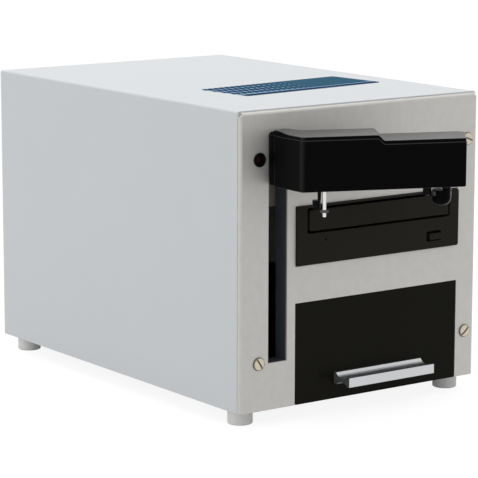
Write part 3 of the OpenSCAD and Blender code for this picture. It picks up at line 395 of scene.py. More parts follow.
@dataclass(frozen=True)
class CutBar(Finish):
    """A polished bar whose sawn ends are darker and matt."""

    node: str = "drawer_handle"
    end_tone: float = -0.8
    end_metal: float = 0.2
    end_depth: float = 0.25 * MM

    def end(self, graph: Graph) -> Socket:
        """Where the bar's ends are.

        Args:
            graph: the material's tree.

        Returns:
            A socket that is 1 on the ends.
        """
        low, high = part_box(self.node)
        along = graph.axes(graph.place)[0]
        off = graph.math("ABSOLUTE", graph.math("SUBTRACT", along, (low.x + high.x) / 2), 0.0)
        return graph.math("GREATER_THAN", off, (high.x - low.x) / 2 - self.end_depth)

    def tint(self, graph: Graph, grain: Socket) -> Socket:
        """Colour of the bar, and of its ends."""
        return graph.blend(self.end(graph), super().tint(graph, grain), self.shade(self.end_tone))

    def metal(self, graph: Graph) -> Socket:
        """Metal along the bar, and less of it on the ends."""
        return graph.span(self.end(graph), self.metallic, self.end_metal, 0.0, 1.0)


@dataclass(frozen=True)
class ArmEdgeHighlight(Finish):
    """Satin moulding with a painted highlight: its colour is paler along the arm's upright front edge."""

    # Colour of the painted highlight on the upright front edge.
    edge_highlight_colour: Colour = (0.022, 0.022, 0.021)
    edge_in: tuple[float, float] = (0.9 * MM, 41.3 * MM)
    reach: tuple[float, float] = (0.6 * MM, 2.4 * MM)

    def tint(self, graph: Graph, grain: Socket) -> Socket:
        """Colour of the moulding, and of the painted highlight along its front edge.

        Args:
            graph: the material's tree.
            grain: the grain's value socket.

        Returns:
            The colour socket.
        """
        right, forward = self.edge_in
        edge = (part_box("arm_shell")[0].x + right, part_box("front_panel")[0].y - forward)
        offs = [graph.math("SUBTRACT", part, at) for part, at in zip(graph.axes(graph.place), edge)]
        far = graph.math("SQRT", graph.squares(*offs), 0.0)
        # Painted highlight: the colour turns paler close to the upright front edge.
        near = graph.span(far, 1.0, 0.0, *self.reach)
        return graph.blend(near, super().tint(graph, grain), self.edge_highlight_colour)


@dataclass(frozen=True)
class BrassWithPaintedShade(Finish):
    """Brass with painted shade: darker in the slots and round the rims of the screws' heads."""

    node: str = "front_screws"
    # How much darker the painted shade makes the brass.
    painted_shade: float = -0.75
    bright_to: float = 0.6 * MM
    dark_from: float = 1.0 * MM

    def tint(self, graph: Graph, grain: Socket) -> Socket:
        """Colour of the heads' tops, and the painted shade on what lies behind them.

        Args:
            graph: the material's tree.
            grain: the grain's value socket.

        Returns:
            The colour socket.
        """
        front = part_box(self.node)[0].y
        back = graph.axes(graph.place)[1]
        # Painted shade: the brass turns darker behind the heads' fronts, in the slots and on the rims.
        deep = graph.span(back, 0.0, 1.0, front + self.bright_to, front + self.dark_from)
        return graph.blend(deep, super().tint(graph, grain), self.shade(self.painted_shade))


@dataclass(frozen=True)
class CircuitBoard(Finish):
    """Solder mask over copper tracks."""

    track: Colour = (0.06, 0.26, 0.1)
    pitch: float = 4.0 * MM
    track_edge: tuple[float, float] = (0.05, 0.09)

    def paint(self, graph: Graph) -> bpy.types.Material:
        """Build the mask and its tracks.

        Args:
            graph: an empty tree.

        Returns:
            The material.
        """
        mapped = graph.add("ShaderNodeMapping", {"Vector": graph.place, "Scale": [1 / self.pitch] * 3})
        cells = graph.add("ShaderNodeTexVoronoi", {"Vector": mapped.outputs[0], "Scale": 1.0},
                          feature="DISTANCE_TO_EDGE", distance="EUCLIDEAN")
        tracks = graph.span(cells.outputs[0], 1.0, 0.0, *self.track_edge)
        grain = graph.noise(self.grain)
        return graph.close({
            "Base Color": graph.blend(tracks, self.tint(graph, grain), self.track),
            "Roughness": self.gloss(graph, grain),
            "Normal": graph.bump(tracks, self.depth),
        })


BRUSH_X = (60.0, 1.0, 1.0)
BRUSH_Z = (1.0, 1.0, 60.0)
FINISHES: dict[Slot, Finish] = {
    Slot.COVER: Finish("cover_powder_coat", (0.757, 0.785, 0.805), 0.46, specular=0.4, grain=0.8 * MM,
                       tone=0.012, depth=0.012 * MM, cloud=70 * MM, cloud_tone=0.012),
    Slot.TRAY: Finish("tray_powder_coat", (0.62, 0.64, 0.66), 0.5, specular=0.4, grain=0.8 * MM, tone=0.02,
                      depth=0.012 * MM, cloud_tone=0.02),
    Slot.FRONT: Finish("brushed_front", (0.65, 0.634, 0.606), 0.6, metallic=0.6, grain=0.3 * MM,
                       stretch=BRUSH_Z, tone=0.06, depth=0.002 * MM, cloud=7 * MM, cloud_tone=0.05),
    Slot.STEEL: Finish("plated_steel", (0.55, 0.55, 0.545), 0.34, metallic=1.0, grain=1.5 * MM, tone=0.06),
    Slot.GROUND: Finish("ground_steel", (0.72, 0.72, 0.72), 0.16, metallic=1.0, grain=0.2 * MM,
                        stretch=BRUSH_Z, tone=0.03, depth=0.001 * MM),
    # The screws' brass carries painted shade in its slots and round its rims.
    Slot.BRASS: BrassWithPaintedShade("turned_brass", (0.6, 0.54, 0.43), 0.34, metallic=1.0,
                               grain=0.4 * MM, tone=0.08),
    Slot.FOOT: Finish("moulded_foot", (0.93, 0.93, 0.91), 0.6, specular=0.3, grain=0.5 * MM, tone=0.03),
    # The arm's finish carries a painted highlight on its upright front edge.
    Slot.ARM: ArmEdgeHighlight("satin_arm", (0.0036, 0.0034, 0.0036), 0.3, specular=0.02, grazing=0.6,
                       grain=0.35 * MM, tone=0.2, depth=0.003 * MM),
    Slot.BLACK: Finish("moulded_black", (0.005, 0.005, 0.005), 0.26, specular=0.05, grazing=0.6,
                       grain=0.4 * MM, tone=0.2, depth=0.004 * MM),
    Slot.DRIVE: Finish("drive_bezel_plastic", (0.026, 0.0245, 0.02), 0.5, specular=0.03, grazing=0.3,
                       grain=0.4 * MM, tone=0.15, depth=0.008 * MM),
    Slot.DRAWER: Finish("drawer_sheet", (0.013, 0.0124, 0.0094), 0.2, specular=0.03, grazing=0.3,
                        grain=0.9 * MM, tone=0.12, gloss_shift=0.05, depth=0.002 * MM),
    Slot.GREY: Finish("grey_moulding", (0.12, 0.12, 0.12), 0.5, specular=0.3, grain=0.5 * MM, tone=0.08),
    Slot.RED: Finish("red_lens", (0.02, 0.003, 0.004), 0.2, specular=0.1, grain=0.6 * MM, tone=0.25),
    Slot.GREEN: Finish("green_lens", (0.008, 0.022, 0.011), 0.2, specular=0.1, grain=0.5 * MM, tone=0.2),
    Slot.LABEL: LabelFilm("label_film", (0.03, 0.115, 0.19), 0.55, specular=0.005, grain=0.3 * MM,
                          tone=0.05, depth=0.002 * MM),
    Slot.ANODISED: CutBar("anodised_bar", (0.58, 0.59, 0.605), 0.3, metallic=1.0, grain=0.2 * MM,
                          stretch=BRUSH_X, tone=0.05, depth=0.001 * MM),
    Slot.MILLED: Finish("milled_block", (0.42, 0.41, 0.4), 0.4, metallic=1.0, grain=0.3 * MM,
                        stretch=BRUSH_X),
    Slot.CARRIAGE: Finish("tinted_plate", (0.3, 0.265, 0.235), 0.42, metallic=0.6, grain=0.4 * MM,
                          stretch=BRUSH_Z, tone=0.1),
    Slot.BOARD: CircuitBoard("board_mask", (0.02, 0.1, 0.04), 0.4, grain=0.8 * MM, depth=0.02 * MM),
}
DOOR = replace(FINISHES[Slot.DRIVE], name="door_plastic", colour=(0.0265, 0.025, 0.0205))
GRIPPER = Finish("gripper_gloss", (0.003, 0.003, 0.003), 0.3, specular=0.02, grazing=0.16, grain=0.4 * MM,
                 tone=0.2, depth=0.002 * MM)
# The lip under the lid is real. This finish is paler than the arm's moulding: a painted highlight along the
# lid's seam.
SEAM_HIGHLIGHT = Finish("seam_painted_highlight", (0.027, 0.027, 0.028), 0.4, specular=0.2, grain=0.3 * MM, tone=0.1)
LINER = Finish("slot_liner_moulding", (0.07, 0.08, 0.1), 0.45, specular=0.3, grain=0.4 * MM, tone=0.1)


class Bench:
    """Modelling moves, made in order on one active piece."""

    level: ClassVar[float] = 0.99
    merge: ClassVar[float] = 0.001 * MM
    flat: ClassVar[float] = math.radians(0.3)

    @staticmethod
    def clear() -> None:
        """Leave edit mode with nothing selected."""
        if bpy.context.object and bpy.context.object.mode != "OBJECT":
            bpy.ops.object.mode_set(mode="OBJECT")
        bpy.ops.object.select_all(action="DESELECT")

    @staticmethod
    def activate(piece: Piece) -> None:
        """Make one piece the only selected one, and the active one.

        Args:
            piece: the piece.
        """
        Bench.clear()
        piece.select_set(True)
        bpy.context.view_layer.objects.active = piece

    @staticmethod
    @contextmanager
    def edit(piece: Piece, pick: Pick = Pick.FACE) -> Iterator[None]:
        """Work on a piece in edit mode.

        Args:
            piece: the piece to edit.
            pick: the selection mode.

        Yields:
            Nothing; edit mode ends with the block.
        """
        Bench.activate(piece)
        bpy.ops.object.mode_set(mode="EDIT")
        bpy.ops.mesh.select_mode(type=pick.value)
        bpy.ops.mesh.select_all(action="SELECT")
        yield
        bpy.ops.object.mode_set(mode="OBJECT")

    @staticmethod
    def pick(piece: Piece, kind: Pick, test: Test) -> None:
        """Select faces by their normals, or vertices by their places, in edit mode.

        Args:
            piece: the piece in edit mode.
            kind: faces or vertices.
            test: called with a normal or a place; True where it is to be selected.
        """
        bpy.ops.mesh.select_all(action="DESELECT")
        mesh = bmesh.from_edit_mesh(piece.data)
        if kind is Pick.FACE:
            chosen = [face for face in mesh.faces if test(face.normal)]
        else:
            chosen = [vert for vert in mesh.verts if test(vert.co)]
        for element in chosen:
            element.select = True
        mesh.select_flush_mode()
        bmesh.update_edit_mesh(piece.data)

    @staticmethod
    def pull(height: float, reach: float) -> None:
        """Lift what is selected in edit mode, and what is near it less and less.

        Args:
            height: how far the selection moves.
            reach: how far away the pull ends.
        """
        bpy.ops.transform.translate(value=(0, 0, height), use_proportional_edit=True,
                                    proportional_edit_falloff="SMOOTH", proportional_size=reach)

    @staticmethod
    def named(name: str) -> Piece:
        """Name the piece that was just made.

        Args:
            name: its name.

        Returns:
            The piece.
        """
        piece = bpy.context.object
        piece.name = piece.data.name = name
        return piece

    @staticmethod
    def copied(mesh: bpy.types.Mesh, name: str) -> Piece:
        """Copy a mesh into a new piece.

        Args:
            mesh: the mesh.
            name: the new piece's name.

        Returns:
            The new piece.
        """
        piece = bpy.data.objects.new(name, mesh.copy())
        piece.data.name = name
        bpy.context.scene.collection.objects.link(piece)
        return piece

    @staticmethod
    def modify(piece: Piece, kind: str, **settings: object) -> None:
        """Add a modifier to a piece, set it and apply it.

        Args:
            piece: the piece.
            kind: the modifier's type name.
            settings: the modifier's properties.
        """
        Bench.activate(piece)
        modifier = piece.modifiers.new(kind.lower(), kind)
        for key, value in settings.items():
            setattr(modifier, key, value)
        bpy.ops.object.modifier_apply(modifier=modifier.name)

    @staticmethod
    def slab(name: str, points: Sequence[Vector], low: float, high: float) -> Piece:
        """A slab with a drawn outline, as a start or a cutter.

        Args:
            name: the new piece's name.
            points: the outline, anticlockwise.
            low: height of its underside.
            high: height of its top.

        Returns:
            The new piece.
        """
        Bench.clear()
        bpy.ops.mesh.primitive_circle_add(vertices=len(points), radius=1.0, fill_type="NGON")
        piece = Bench.named(name)
        for vert, point in zip(piece.data.vertices, points):
            vert.co = (point.x, point.y, low)
        with Bench.edit(piece):
            bpy.ops.mesh.extrude_region_move(TRANSFORM_OT_translate={"value": (0, 0, high - low)})
            bpy.ops.mesh.select_all(action="SELECT")
            bpy.ops.mesh.normals_make_consistent(inside=False)
        return piece

    @staticmethod
    def round_rim(piece: Piece, side: float, radius: float, steps: int = 4) -> None:
        """Round the rim of a flat top or underside by insets that also lift it.

        Args:
            piece: the piece; its flat end is to move outward by the radius.
            side: 1 for the top and -1 for the underside.
            radius: radius of the rounding.
            steps: faces across the rounding.
        """
        with Bench.edit(piece):
            Bench.pick(piece, Pick.FACE, lambda n: n.z * side > Bench.level)
            turns = [math.pi / 2 * i / steps for i in range(steps + 1)]
            for before, after in zip(turns, turns[1:]):
                inward = radius * (math.cos(before) - math.cos(after))
                outward = radius * (math.sin(after) - math.sin(before))
                bpy.ops.mesh.inset(thickness=inward, depth=outward, use_even_offset=True)

    @staticmethod
    def copy_node(node: str, name: str) -> Piece:
        """Copy a CAD node into a new piece with whole faces.

        Args:
            node: the CAD node's name.
            name: the new piece's name.

        Returns:
            The new piece.
        """
        piece = Bench.copied(frame["nodes"][node].data, name)
        piece.data.materials.clear()
        with Bench.edit(piece, Pick.EDGE):
            bpy.ops.mesh.customdata_custom_splitnormals_clear()
            bpy.ops.mesh.remove_doubles(threshold=Bench.merge)
            bpy.ops.mesh.dissolve_limited(angle_limit=Bench.flat)
        return piece

    @staticmethod
    def ease(piece: Piece, width: float, segments: int = 2, angle: float = 35.0) -> None:
        """Round the sharp edges of a piece and shade it smooth between them.

        Args:
            piece: the piece.
            width: width of the rounding in metres.
            segments: faces across a rounding.
            angle: edges that turn by less than this, in degrees, stay as they are.
        """
        Bench.modify(piece, "BEVEL", width=width, segments=segments, limit_method="ANGLE",
                     angle_limit=math.radians(angle), use_clamp_overlap=True)
        Bench.smooth(piece)

    @staticmethod
    def smooth(piece: Piece, angle: float = 32.0) -> None:
        """Shade a piece smooth where its faces turn by little.

        Args:
            piece: the piece.
            angle: edges that turn by more than this, in degrees, stay sharp.
        """
        Bench.activate(piece)
        bpy.ops.object.shade_smooth_by_angle(angle=math.radians(angle))
        Bench.modify(piece, "WEIGHTED_NORMAL", keep_sharp=True)

    @staticmethod
    def settle(piece: Piece) -> None:
        """Put a piece's place, turn and scale into its mesh."""
        Bench.activate(piece)
        bpy.ops.object.transform_apply(location=True, rotation=True, scale=True)

    @staticmethod
    def turned(name: str, stations: Sequence[tuple[float, float]], base: Vector, axis: Vector,
               sides: int = 48) -> Piece:
        """Turn a solid: a disc that is extruded and scaled from station to station.

        Args:
            name: the new piece's name.
            stations: radius and height of each ring, in metres.
            base: where height 0 is.
            axis: direction of growing height.
            sides: sides of each ring.

        Returns:
            The new piece, at its place.
        """
        Bench.clear()
        radius, height = stations[0]
        bpy.ops.mesh.primitive_circle_add(vertices=sides, radius=radius, fill_type="NGON",
                                          location=(0, 0, height))
        piece = Bench.named(name)
        Bench.settle(piece)
        with Bench.edit(piece):
            for next_radius, next_height in stations[1:]:
                move = {"value": (0, 0, next_height - height)}
                bpy.ops.mesh.extrude_region_move(TRANSFORM_OT_translate=move)
                ratio = next_radius / radius
                bpy.ops.transform.resize(value=(ratio, ratio, 1), center_override=(0, 0, next_height))
                radius, height = next_radius, next_height
            bpy.ops.mesh.select_all(action="SELECT")
            bpy.ops.mesh.normals_make_consistent(inside=False)
        piece.matrix_world = Matrix.Translation(base) @ axis.to_track_quat("Z", "Y").to_matrix().to_4x4()
        Bench.settle(piece)
        return piece

    @staticmethod
    def join(name: str, pieces: Sequence[Piece]) -> Piece:
        """Join pieces into one.

        Args:
            name: the joined piece's name.
            pieces: the pieces; the first one stays.

        Returns:
            The joined piece.
        """
        Bench.activate(pieces[0])
        for piece in pieces[1:]:
            piece.select_set(True)
        bpy.ops.object.join()
        pieces[0].name = pieces[0].data.name = name
        return pieces[0]

    @staticmethod
    def cut(piece: Piece, tool: Piece) -> None:
        """Cut a tool's shape out of a piece, and take the tool away.

        Args:
            piece: the piece to cut.
            tool: a closed mesh.
        """
        Bench.modify(piece, "BOOLEAN", operation="DIFFERENCE", solver="EXACT", object=tool)
        bpy.data.objects.remove(tool, do_unlink=True)

    @staticmethod
    def block(name: str, low: Vector, high: Vector) -> Piece:
        """A block between two corners, as a start or a cutter.

        Args:
            name: the new piece's name.
            low: its lowest corner.
            high: its highest corner.

        Returns:
            The new piece.
        """
        Bench.clear()
        bpy.ops.mesh.primitive_cube_add(size=1, location=(low + high) / 2)
        piece = Bench.named(name)
        piece.scale = high - low
        Bench.settle(piece)
        return piece


def dress(piece: Piece, slot: Slot, body: str, *nodes: str,
          finish: Finish | None = None) -> None:
    """Give a new piece its finish, its body and the CAD nodes that it stands for.

    Args:
        piece: the finished piece.
        slot: the record's material slot.
        body: the CAD body that it rides on.
        nodes: the CAD nodes that it replaces.
        finish: a finish of its own, or the slot's.
    """
    piece.data.materials.clear()
    piece.data.materials.append((finish or FINISHES[slot]).material())
    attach(piece, body)
    if nodes:
        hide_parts(*nodes)
    LOG.info("piece %s rides on %s and stands for %s", piece.name, body, ", ".join(nodes) or "nothing")


@dataclass(frozen=True)
class Eased:
    """A CAD node whose edges are rounded for the eye."""

    node: str
    slot: Slot
    edge: float
    body: str = "cabinet"
    segments: int = 2
    finish: Finish | None = None

    def build(self) -> Piece:
        """Copy the node, round its edges and dress it.

        Returns:
            The new piece.
        """
        piece = Bench.copy_node(self.node, f"{self.node}_eased")
        Bench.ease(piece, self.edge, self.segments)
        dress(piece, self.slot, self.body, self.node, finish=self.finish)
        return piece


@dataclass
class Assembly:
    """Pieces that keep the CAD's shape, with their edges rounded."""

    parts: list[Eased] = field(default_factory=list)

    def build(self) -> None:
        """Make every piece."""
        for part in self.parts:
            part.build()


@dataclass
class Cabinet(Assembly):
    """Sheet metal, feet and front fittings."""

    parts: list[Eased] = field(default_factory=lambda: [
        Eased("cover", Slot.COVER, 0.25 * MM),
        Eased("front_panel", Slot.FRONT, 0.25 * MM),
        Eased("rear_panel", Slot.TRAY, 0.2 * MM),
        Eased("base_tray", Slot.TRAY, 0.2 * MM),
        Eased("feet", Slot.FOOT, 0.5 * MM, segments=3),
        Eased("front_screws", Slot.BRASS, 0.15 * MM),
        Eased("lamp_bezel", Slot.BLACK, 0.4 * MM, segments=3),
        Eased("lamp_lens", Slot.RED, 0.3 * MM),
        Eased("slot_liner", Slot.BLACK, 0.3 * MM, finish=LINER),
    ])


def rounded(points: Sequence[Vector], radii: Sequence[float], inset: float = 0.0,
            steps: int = 6) -> list[Vector]:
    """Round the corners of an outline.

    Args:
        points: the corners, anticlockwise.
        radii: the radius at each corner.
        inset: how far the outline is drawn in.
        steps: parts of each arc.

    Returns:
        The points of the rounded outline.
    """
    outline = []
    for i, (corner, radius) in enumerate(zip(points, radii)):
        back = (points[i - 1] - corner).normalized()
        ahead = (points[(i + 1) % len(points)] - corner).normalized()
        half = back.angle(ahead) / 2
        inward = (back + ahead).normalized() / math.sin(half)
        drawn = inset if ahead.cross(back).z > 0 else -inset
        tip, bend = corner + inward * drawn, radius - drawn
        middle = tip + inward * bend
        first = (tip + back * bend / math.tan(half) - middle).normalized()
        last = (tip + ahead * bend / math.tan(half) - middle).normalized()
        outline += [middle + first.slerp(last, k / steps) * bend for k in range(steps + 1)]
    return outline


@dataclass
class Arm(Assembly):
    """The lifting arm: a casing with a stepped lid, and the gripper's pieces under it."""

    angle: float = 21.7
    end_angle: float = 50.8
    stand_off: float = 42.5 * MM
    length: float = 117.1 * MM
    width: float = 37.0 * MM
    radii: tuple[float, ...] = (
        2.0 * MM, 2.0 * MM, 6.0 * MM, 1.0 * MM, 3.0 * MM, 1.0 * MM, 0.6 * MM, 0.9 * MM,
    )
    neck_gap: float = 2.5 * MM
    neck_cover: float = 15.3 * MM
    shoulder: tuple[float, float] = (1.8 * MM, 10.5 * MM)
    wall: float = 2.2 * MM
    wall_round: float = 0.4 * MM
    floor: float = 2.5 * MM
    sill: float = 1.0 * MM
    lid_t: float = 2.2 * MM
    lid_in: float = 0.45 * MM
    lid_round: float = 0.6 * MM
    seam: float = 0.3 * MM
    lip: float = 0.6 * MM
    lip_back: float = 0.8 * MM
    under_round: float = 0.8 * MM
    step: float = 4.0 * MM
    step_at: float = 53.2 * MM
    step_len: float = 5.5 * MM
    step_slant: float = 12.0
    step_cuts: int = 7
    near_cut: float = 0.02 * MM
    crown: float = 2.2 * MM
    crown_reach: float = 17.0 * MM
    crown_at: tuple[float, float] = (7.5 * MM, -9.0 * MM)
    corner_fall: float = 1.2 * MM
    corner_reach: float = 9.0 * MM
    corner_pick: float = 2.5 * MM
    crown_grid: float = 3.0 * MM
    near_point: float = 0.1 * MM
    fit: float = 0.15 * MM
    pin_d: float = 2.6 * MM
    pin_head: float = 1.5 * MM
    pin_flare: tuple[float, float] = (2.0, 2.2)
    pin_collar: tuple[float, float, float] = (3.0 * MM, 1.7 * MM, 3.2 * MM)
    holes: dict[str, float] = field(default_factory=lambda: {
        "gripper_plunger": 1.2 * MM, "disc_sensor": 3.1 * MM, "guide_pin": 1.35 * MM,
    })
    parts: list[Eased] = field(default_factory=lambda: [
        Eased("gripper_hub", Slot.BLACK, 0.4 * MM, "arm", 3, GRIPPER),
        Eased("finger_post", Slot.BLACK, 0.5 * MM, "arm", 3),
        Eased("disc_sensor", Slot.BLACK, 0.4 * MM, "feeler", 3),
        Eased("arm_neck", Slot.MILLED, 0.4 * MM, "arm"),
    ])

    def __post_init__(self) -> None:
        """Work out the arm's corners and heights from the frame."""
        turn = math.radians(self.angle)
        self.low, self.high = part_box("arm_shell")
        self.top = self.high.z + self.lid_t
        self.along = Vector((math.cos(turn), -math.sin(turn), 0))
        panel_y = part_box("front_panel")[0].y
        front_left = Vector((self.low.x, panel_y - self.stand_off, 0))
        front_right = front_left + self.along * self.length
        end = math.radians(self.end_angle)
        end_length = self.width / math.sin(turn + end)
        back_right = front_right + Vector((math.cos(end), math.sin(end), 0)) * end_length
        back_left = front_left + Vector((0, self.width / math.cos(turn), 0))
        self.crown_place = back_left + Vector((*self.crown_at, self.top))
        neck = sum(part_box("arm_neck"), Vector()) / 2
        neck_y, half = panel_y - self.neck_gap, self.neck_cover / 2
        meet_y = back_left.y - (neck.x + half - back_left.x) * math.tan(turn)
        shared = [
            front_left, front_right, back_right, Vector((neck.x + half, meet_y, 0)),
            Vector((neck.x + half, neck_y, 0)),
        ]
        self.plain = [*shared, Vector((front_left.x, neck_y, 0))]
        inner_x, shoulder_y = front_left.x + self.shoulder[0], panel_y - self.shoulder[1]
        self.neck_end = Vector((inner_x, neck_y, 0))
        self.corners = [
            *shared, self.neck_end, Vector((inner_x, shoulder_y, 0)), Vector((front_left.x, shoulder_y, 0)),
        ]
        slant = turn + math.radians(self.step_slant)
        self.step_dir = Vector((math.cos(slant), -math.sin(slant), 0))
        self.step_start = front_left + self.along * self.step_at

    def build(self) -> None:
        """Make every piece of the arm."""
        self.lid()
        self.seam_lip()
        self.casing()
        self.pin()
        super().build()

    def slab(self, name: str, low: float, high: float, inset: float = 0.0) -> Piece:
        """The arm's outline, with its neck cover, as a slab.

        Args:
            name: the new piece's name.
            low: height of its underside.
            high: height of its top.
            inset: how far the outline is drawn in.

        Returns:
            The new piece.
        """
        return Bench.slab(name, rounded(self.corners, self.radii, inset), low, high)

    def step_down(self, piece: Piece, floor: float) -> None:
        """Cut a piece across the step's slope, and lower what lies beyond in a soft curve.

        Args:
            piece: the piece.
            floor: what lies below this height stays where it is.
        """
        stations = [self.step_len * k / self.step_cuts for k in range(self.step_cuts + 1)]
        for station in stations:
            with Bench.edit(piece):
                place = self.step_start + self.step_dir * station
                bpy.ops.mesh.bisect(plane_co=place, plane_no=self.step_dir)
        with Bench.edit(piece, Pick.VERT):
            for station in stations[1:]:
                place = self.step_start + self.step_dir * station
                end = math.inf if station == stations[-1] else self.near_cut
                Bench.pick(piece, Pick.VERT, lambda p: p.z > floor
                           and -self.near_cut < (p - place).dot(self.step_dir) < end)
                share = station / self.step_len
                bpy.ops.transform.translate(value=(0, 0, -self.step * share * share * (3 - 2 * share)))

    def lid(self) -> None:
        """The lid: a rounded rim, a step down toward the gripper, a low crown and a fallen neck corner."""
        base, rim = self.high.z, self.top - self.lid_round
        piece = self.slab("arm_lid_crowned", base, rim, self.lid_in)
        Bench.round_rim(piece, 1, self.lid_round)
        self.step_down(piece, 0.0)
        crown = self.crown_place
        corner = (self.neck_end + Vector((self.lid_in, -self.lid_in, 0))).xy
        reach = math.ceil(self.crown_reach / self.crown_grid)
        for axis in (Vector((1, 0, 0)), Vector((0, 1, 0))):
            for k in range(-reach, reach + 1):
                with Bench.edit(piece):
                    bpy.ops.mesh.bisect(plane_co=crown + axis * k * self.crown_grid, plane_no=axis)
        with Bench.edit(piece, Pick.VERT):
            Bench.pick(piece, Pick.VERT, lambda p: p.z < base + self.near_point)
            bpy.ops.mesh.hide()
            Bench.pick(piece, Pick.VERT, lambda p: (p - crown).length < self.near_point)
            Bench.pull(self.crown, self.crown_reach)
            Bench.pick(piece, Pick.VERT, lambda p: p.z > rim and (p.xy - corner).length < self.corner_pick)
            Bench.pull(-self.corner_fall, self.corner_reach)
            bpy.ops.mesh.reveal(select=False)
        Bench.smooth(piece)
        dress(piece, Slot.ARM, "arm", "arm_lid")

    def seam_lip(self) -> None:
        """The lip that the lid sits on. Its edge shows as a thin line, and its finish is paler than the
        arm's as a painted highlight.
        """
        piece = self.slab("arm_seam_lip", self.high.z - self.lip, self.high.z - self.seam)
        left = self.low.x + self.radii[0]
        with Bench.edit(piece, Pick.VERT):
            Bench.pick(piece, Pick.VERT, lambda p: p.x < left)
            bpy.ops.transform.translate(value=self.along * self.lip_back)
        Bench.round_rim(piece, 1, self.seam, 2)
        self.step_down(piece, 0.0)
        Bench.smooth(piece)
        # The paler finish paints the seam's highlight.
        dress(piece, Slot.ARM, "arm", finish=SEAM_HIGHLIGHT)

    def pin(self) -> None:
        """The guide pin, ground and headed, and the collar near its tip."""
        low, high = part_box("guide_pin")
        base = Vector(((low.x + high.x) / 2, (low.y + high.y) / 2, low.z))
        height = high.z - low.z
        shank, tip = self.pin_d / 2, self.pin_d / 5
        head = height - self.pin_head
        inner, outer = (shank * flare for flare in self.pin_flare)
        stations = [
            (shank - tip, 0.0), (shank - tip / 3, tip / 3), (shank, tip), (shank, head),
            (inner, head), (outer, head + tip), (outer, height - tip), (inner, height),
        ]
        piece = Bench.turned("guide_pin_ground", stations, base, UP)
        Bench.smooth(piece)
        dress(piece, Slot.GROUND, "arm", "guide_pin")
        radius, thick, at = self.pin_collar
        edge = thick / 5
        end = at + thick
        rings = [(radius - edge, at), (radius, at + edge), (radius, end - edge), (radius - edge, end)]
        collar = Bench.turned("guide_pin_collar", rings, base, UP)
        Bench.smooth(collar)
        dress(collar, Slot.GREY, "arm")

    def casing(self) -> None:
        """The casing: open under the lid, rounded below, with the holes that its floor has."""
        low, high = self.low.z + self.under_round, self.high.z - self.lip
        piece = self.slab("arm_casing", low, high)
        Bench.round_rim(piece, -1, self.under_round, 3)
        radii = [max(radius, self.wall + self.wall_round) for radius in self.radii]
        inside = self.low.z + self.floor
        outline = rounded(self.plain, radii, self.wall)
        Bench.cut(piece, Bench.slab("arm_cavity", outline, inside, self.top + self.floor))
        self.step_down(piece, inside + self.sill)
        neck_low, neck_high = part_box("arm_neck")
        room = Vector((self.fit, self.fit, self.fit))
        Bench.cut(piece, Bench.block("neck_passage", neck_low - room, neck_high + room))
        for node, radius in self.holes.items():
            middle = sum(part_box(node), Vector()) / 2
            base = Vector((middle.x, middle.y, self.low.z - self.floor))
            stations = [(radius, 0.0), (radius, 2.5 * self.floor)]
            Bench.cut(piece, Bench.turned(f"{node}_hole", stations, base, UP))
        Bench.smooth(piece)
        dress(piece, Slot.ARM, "arm", "arm_shell")


@dataclass
class Drive(Assembly):
    """The optical drive's front."""

    grooves: dict[str, tuple[float, float, float, float]] = field(default_factory=lambda: {
        "tray_door": (1.25 * MM, 1.25 * MM, 1.25 * MM, 1.25 * MM),
        "eject_button": (2.3 * MM, 0.4 * MM, 0.7 * MM, 1.7 * MM),
    })
    parts: list[Eased] = field(default_factory=lambda: [
        Eased("drive_bezel", Slot.DRIVE, 0.4 * MM, segments=3),
        Eased("drive_tray", Slot.DRIVE, 0.4 * MM, "tray"),
        Eased("drive_lamp", Slot.GREEN, 0.3 * MM),
    ])
    inlaid: list[Eased] = field(default_factory=lambda: [
        Eased("tray_door", Slot.DRIVE, 0.35 * MM, "tray", 3, DOOR),
        Eased("eject_button", Slot.DRIVE, 0.5 * MM, "button", 3),
    ])

    def build(self) -> None:
        """Make every piece of the drive that shows."""
        super().build()
        for part in self.inlaid:
            self.narrow(part.build(), part.node)

    def narrow(self, piece: Piece, node: str) -> None:
        """Draw a piece in at its left, right, lower and upper sides, so that the groove around it shows.

        Args:
            piece: the piece.
            node: the CAD node that it stands for.
        """
        low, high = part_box(node)
        size = high - low
        left, right, lower, upper = self.grooves[node]
        ratio = ((size.x - left - right) / size.x, 1.0, (size.z - lower - upper) / size.z)
        with Bench.edit(piece):
            bpy.ops.transform.resize(value=ratio, center_override=(low + high) / 2)
            bpy.ops.transform.translate(value=((left - right) / 2, 0, (lower - upper) / 2))


@dataclass
class Drawer(Assembly):
    """The disc drawer with its handle."""

    parts: list[Eased] = field(default_factory=lambda: [
        Eased("drawer_front", Slot.DRAWER, 0.4 * MM, "drawer", 3),
        Eased("drawer_bin", Slot.BLACK, 0.4 * MM, "drawer"),
        Eased("disc_posts", Slot.GREY, 1.0 * MM, "drawer", 3),
        Eased("drawer_handle", Slot.ANODISED, 0.35 * MM, "drawer", 3),
    ])


